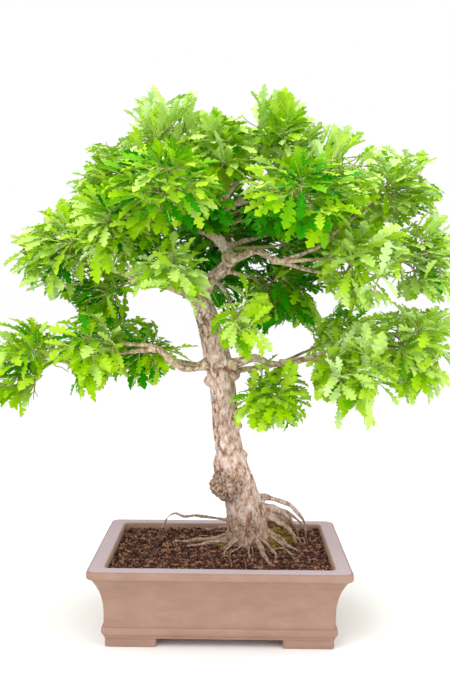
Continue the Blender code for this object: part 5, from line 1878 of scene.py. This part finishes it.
@dataclass
class GranuleTree:
    """Node tree that scatters uneven little stones over a sheet."""
    finish: Finish
    least_shape: Triple = (0.65, 0.65, 0.55)
    most_shape: Triple = (1.25, 1.1, 0.9)
    grain_scale: float = 420.0
    grain_depth: float = 0.0022

    def build(self) -> bpy.types.NodeTree:
        """Build the node tree, which ends in Realize Instances and Set Material."""
        tree = bpy.data.node_groups.new("scatter_" + self.finish.name, "GeometryNodeTree")
        for name, way, kind in (("Geometry", "INPUT", "Geometry"), ("Spacing", "INPUT", "Float"),
                                ("Density", "INPUT", "Float"), ("Smallest", "INPUT", "Float"),
                                ("Largest", "INPUT", "Float"), ("Bark", "INPUT", "Object"),
                                ("Clearance", "INPUT", "Float"), ("Seed", "INPUT", "Int"),
                                ("Geometry", "OUTPUT", "Geometry")):
            tree.interface.new_socket(name, in_out=way, socket_type="NodeSocket" + kind)
        given = tree.nodes.new("NodeGroupInput").outputs
        spread = wire(tree, "GeometryNodeDistributePointsOnFaces",
                      {"Mesh": given["Geometry"], "Distance Min": given["Spacing"],
                       "Density Max": given["Density"], "Seed": given["Seed"]}, distribute_method="POISSON")
        bark = wire(tree, "GeometryNodeObjectInfo", {"Object": given["Bark"]})
        near = wire(tree, "GeometryNodeProximity", {"Geometry": bark.outputs["Geometry"]})
        clear = wire(tree, "FunctionNodeCompare", {"A": near.outputs["Distance"], "B": given["Clearance"]},
                     operation="GREATER_THAN")
        stone = wire(tree, "GeometryNodeMeshIcoSphere", {"Radius": 1.0, "Subdivisions": 1})
        turn = wire(tree, "FunctionNodeRandomValue", {"Max": (math.tau,) * 3, "Seed": given["Seed"]},
                    data_type="FLOAT_VECTOR")
        place = wire(tree, "GeometryNodeInstanceOnPoints",
                     {"Points": spread.outputs["Points"], "Selection": clear.outputs["Result"],
                      "Instance": stone.outputs["Mesh"], "Rotation": turn.outputs["Value"],
                      "Scale": self.random_size(tree, given)})
        real = wire(tree, "GeometryNodeRealizeInstances", {"Geometry": place.outputs["Instances"]})
        material = bpy.data.materials.get(self.finish.name) or self.finish.build()
        paint = wire(tree, "GeometryNodeSetMaterial",
                     {"Material": material, "Geometry": self.roughen(tree, real.outputs["Geometry"])})
        wire(tree, "NodeGroupOutput", {"Geometry": paint.outputs["Geometry"]})
        return tree

    def random_size(self, tree: bpy.types.NodeTree,
                    given: bpy.types.bpy_prop_collection) -> bpy.types.NodeSocket:
        """Add a random size for each stone, uneven in its three directions."""
        sizes = wire(tree, "FunctionNodeRandomValue",
                     {2: given["Smallest"], 3: given["Largest"], "Seed": given["Seed"]})
        uneven = wire(tree, "FunctionNodeRandomValue", {"Min": self.least_shape, "Max": self.most_shape},
                      data_type="FLOAT_VECTOR")
        return wire(tree, "ShaderNodeVectorMath",
                    {"Vector": uneven.outputs["Value"], "Scale": sizes.outputs[1]},
                    operation="SCALE").outputs["Vector"]

    def roughen(self, tree: bpy.types.NodeTree, stones: bpy.types.NodeSocket) -> bpy.types.NodeSocket:
        """Push the stones' corners about so that no two are alike."""
        grain = wire(tree, "ShaderNodeTexNoise", {"Scale": self.grain_scale})
        centred = wire(tree, "ShaderNodeVectorMath", {0: grain.outputs["Color"], 1: (0.5, 0.5, 0.5)},
                       operation="SUBTRACT")
        offset = wire(tree, "ShaderNodeVectorMath",
                      {"Vector": centred.outputs["Vector"], "Scale": self.grain_depth}, operation="SCALE")
        return wire(tree, "GeometryNodeSetPosition",
                    {"Geometry": stones, "Offset": offset.outputs["Vector"]}).outputs["Geometry"]


def run_nodes(obj: bpy.types.Object, tree: bpy.types.NodeTree, inputs: dict[str, object],
              name: str) -> bpy.types.Object:
    """Run a node tree on an object and keep the result as a plain mesh.

    Args:
        obj: The object the tree starts from.
        tree: The node tree.
        inputs: Values for its named inputs.
        name: The finished piece's name.

    Returns:
        The same object with the finished mesh.
    """
    modifier = obj.modifiers.new("nodes", "NODES")
    modifier.node_group = tree
    for item in tree.interface.items_tree:
        if item.in_out == "INPUT" and item.name in inputs:
            modifier[item.identifier] = inputs[item.name]
    mesh = evaluated_mesh(obj)
    obj.modifiers.remove(modifier)
    obj.data = mesh
    obj.name = name
    return obj


# ---------------------------------------------------------------- studio

@dataclass
class Studio:
    """Pale floor, soft light and the camera."""
    camera_place: Triple = (0.0168, -1.3229, 0.4956)
    pitch_down: float = 0.0591
    yaw: float = 0.0103
    roll: float = 0.0081
    lens: float = 48.27
    floor_half: float = 40.0
    floor_drop: float = 0.0002

    def build(self) -> None:
        """Place everything around the object."""
        self.place_floor()
        self.place_lights()
        self.place_camera()
        bpy.context.scene.view_settings.view_transform = "Standard"

    def place_floor(self) -> None:
        """The floor, just under the feet."""
        shape = bmesh.new()
        bmesh.ops.create_grid(shape, x_segments=8, y_segments=8, size=self.floor_half)
        floor = shape_object("floor", shape)
        floor.location.z = -self.floor_drop
        floor.data.materials.append(FLOOR.build())

    def place_lights(self) -> None:
        """A white room with a large soft key at the upper left and a weak fill on the right."""
        world = bpy.data.worlds.new("studio")
        world.use_nodes = True
        sky = world.node_tree.nodes["Background"].inputs
        sky["Color"].default_value = (1.0, 1.0, 1.0, 1.0)
        sky["Strength"].default_value = 1.0
        bpy.context.scene.world = world
        for name, place, aim, size, power in (
                ("key", (-1.1, -1.6, 1.9), (0, 0, 0.4), 1.4, 25.0),
                ("top", (0.2, 0.1, 2.2), (0, 0, 0.3), 1.6, 15.0),
                ("fill", (1.6, -1.2, 1.0), (0, 0, 0.35), 1.4, 9.0)):
            light = bpy.data.lights.new(name, "AREA")
            light.size = size
            light.energy = power
            lamp = add_object(name, light)
            lamp.location = place
            lamp.rotation_euler = (Vector(aim) - Vector(place)).to_track_quat("-Z", "Y").to_euler()

    def place_camera(self) -> None:
        """The camera, a little above the middle of the tree and looking slightly down."""
        data = bpy.data.cameras.new("camera")
        data.lens = self.lens
        camera = add_object("camera", data)
        forward = Vector((-math.sin(self.yaw) * math.cos(self.pitch_down),
                          math.cos(self.yaw) * math.cos(self.pitch_down), -math.sin(self.pitch_down)))
        turn = forward.to_track_quat("-Z", "Y").to_matrix().to_4x4()
        camera.matrix_world = (Matrix.Translation(Vector(self.camera_place)) @ turn
                               @ Matrix.Rotation(self.roll, 4, "Z"))
        bpy.context.scene.camera = camera


def main() -> None:
    """Build every sub-assembly in order."""
    logging.basicConfig(level=logging.INFO, format="%(name)s %(message)s")
    noise.seed_set(NOISE_SEED)
    skeleton = Skeleton()
    skeleton.grow()
    Pot().build()
    trunk = Trunk(skeleton)
    bark = trunk.build()
    Rootlets(trunk).build()
    Boughs(skeleton).build()
    Crown(skeleton).build()
    Soil().build(bark)
    Studio().build()


if __name__ == "__main__":
    main()
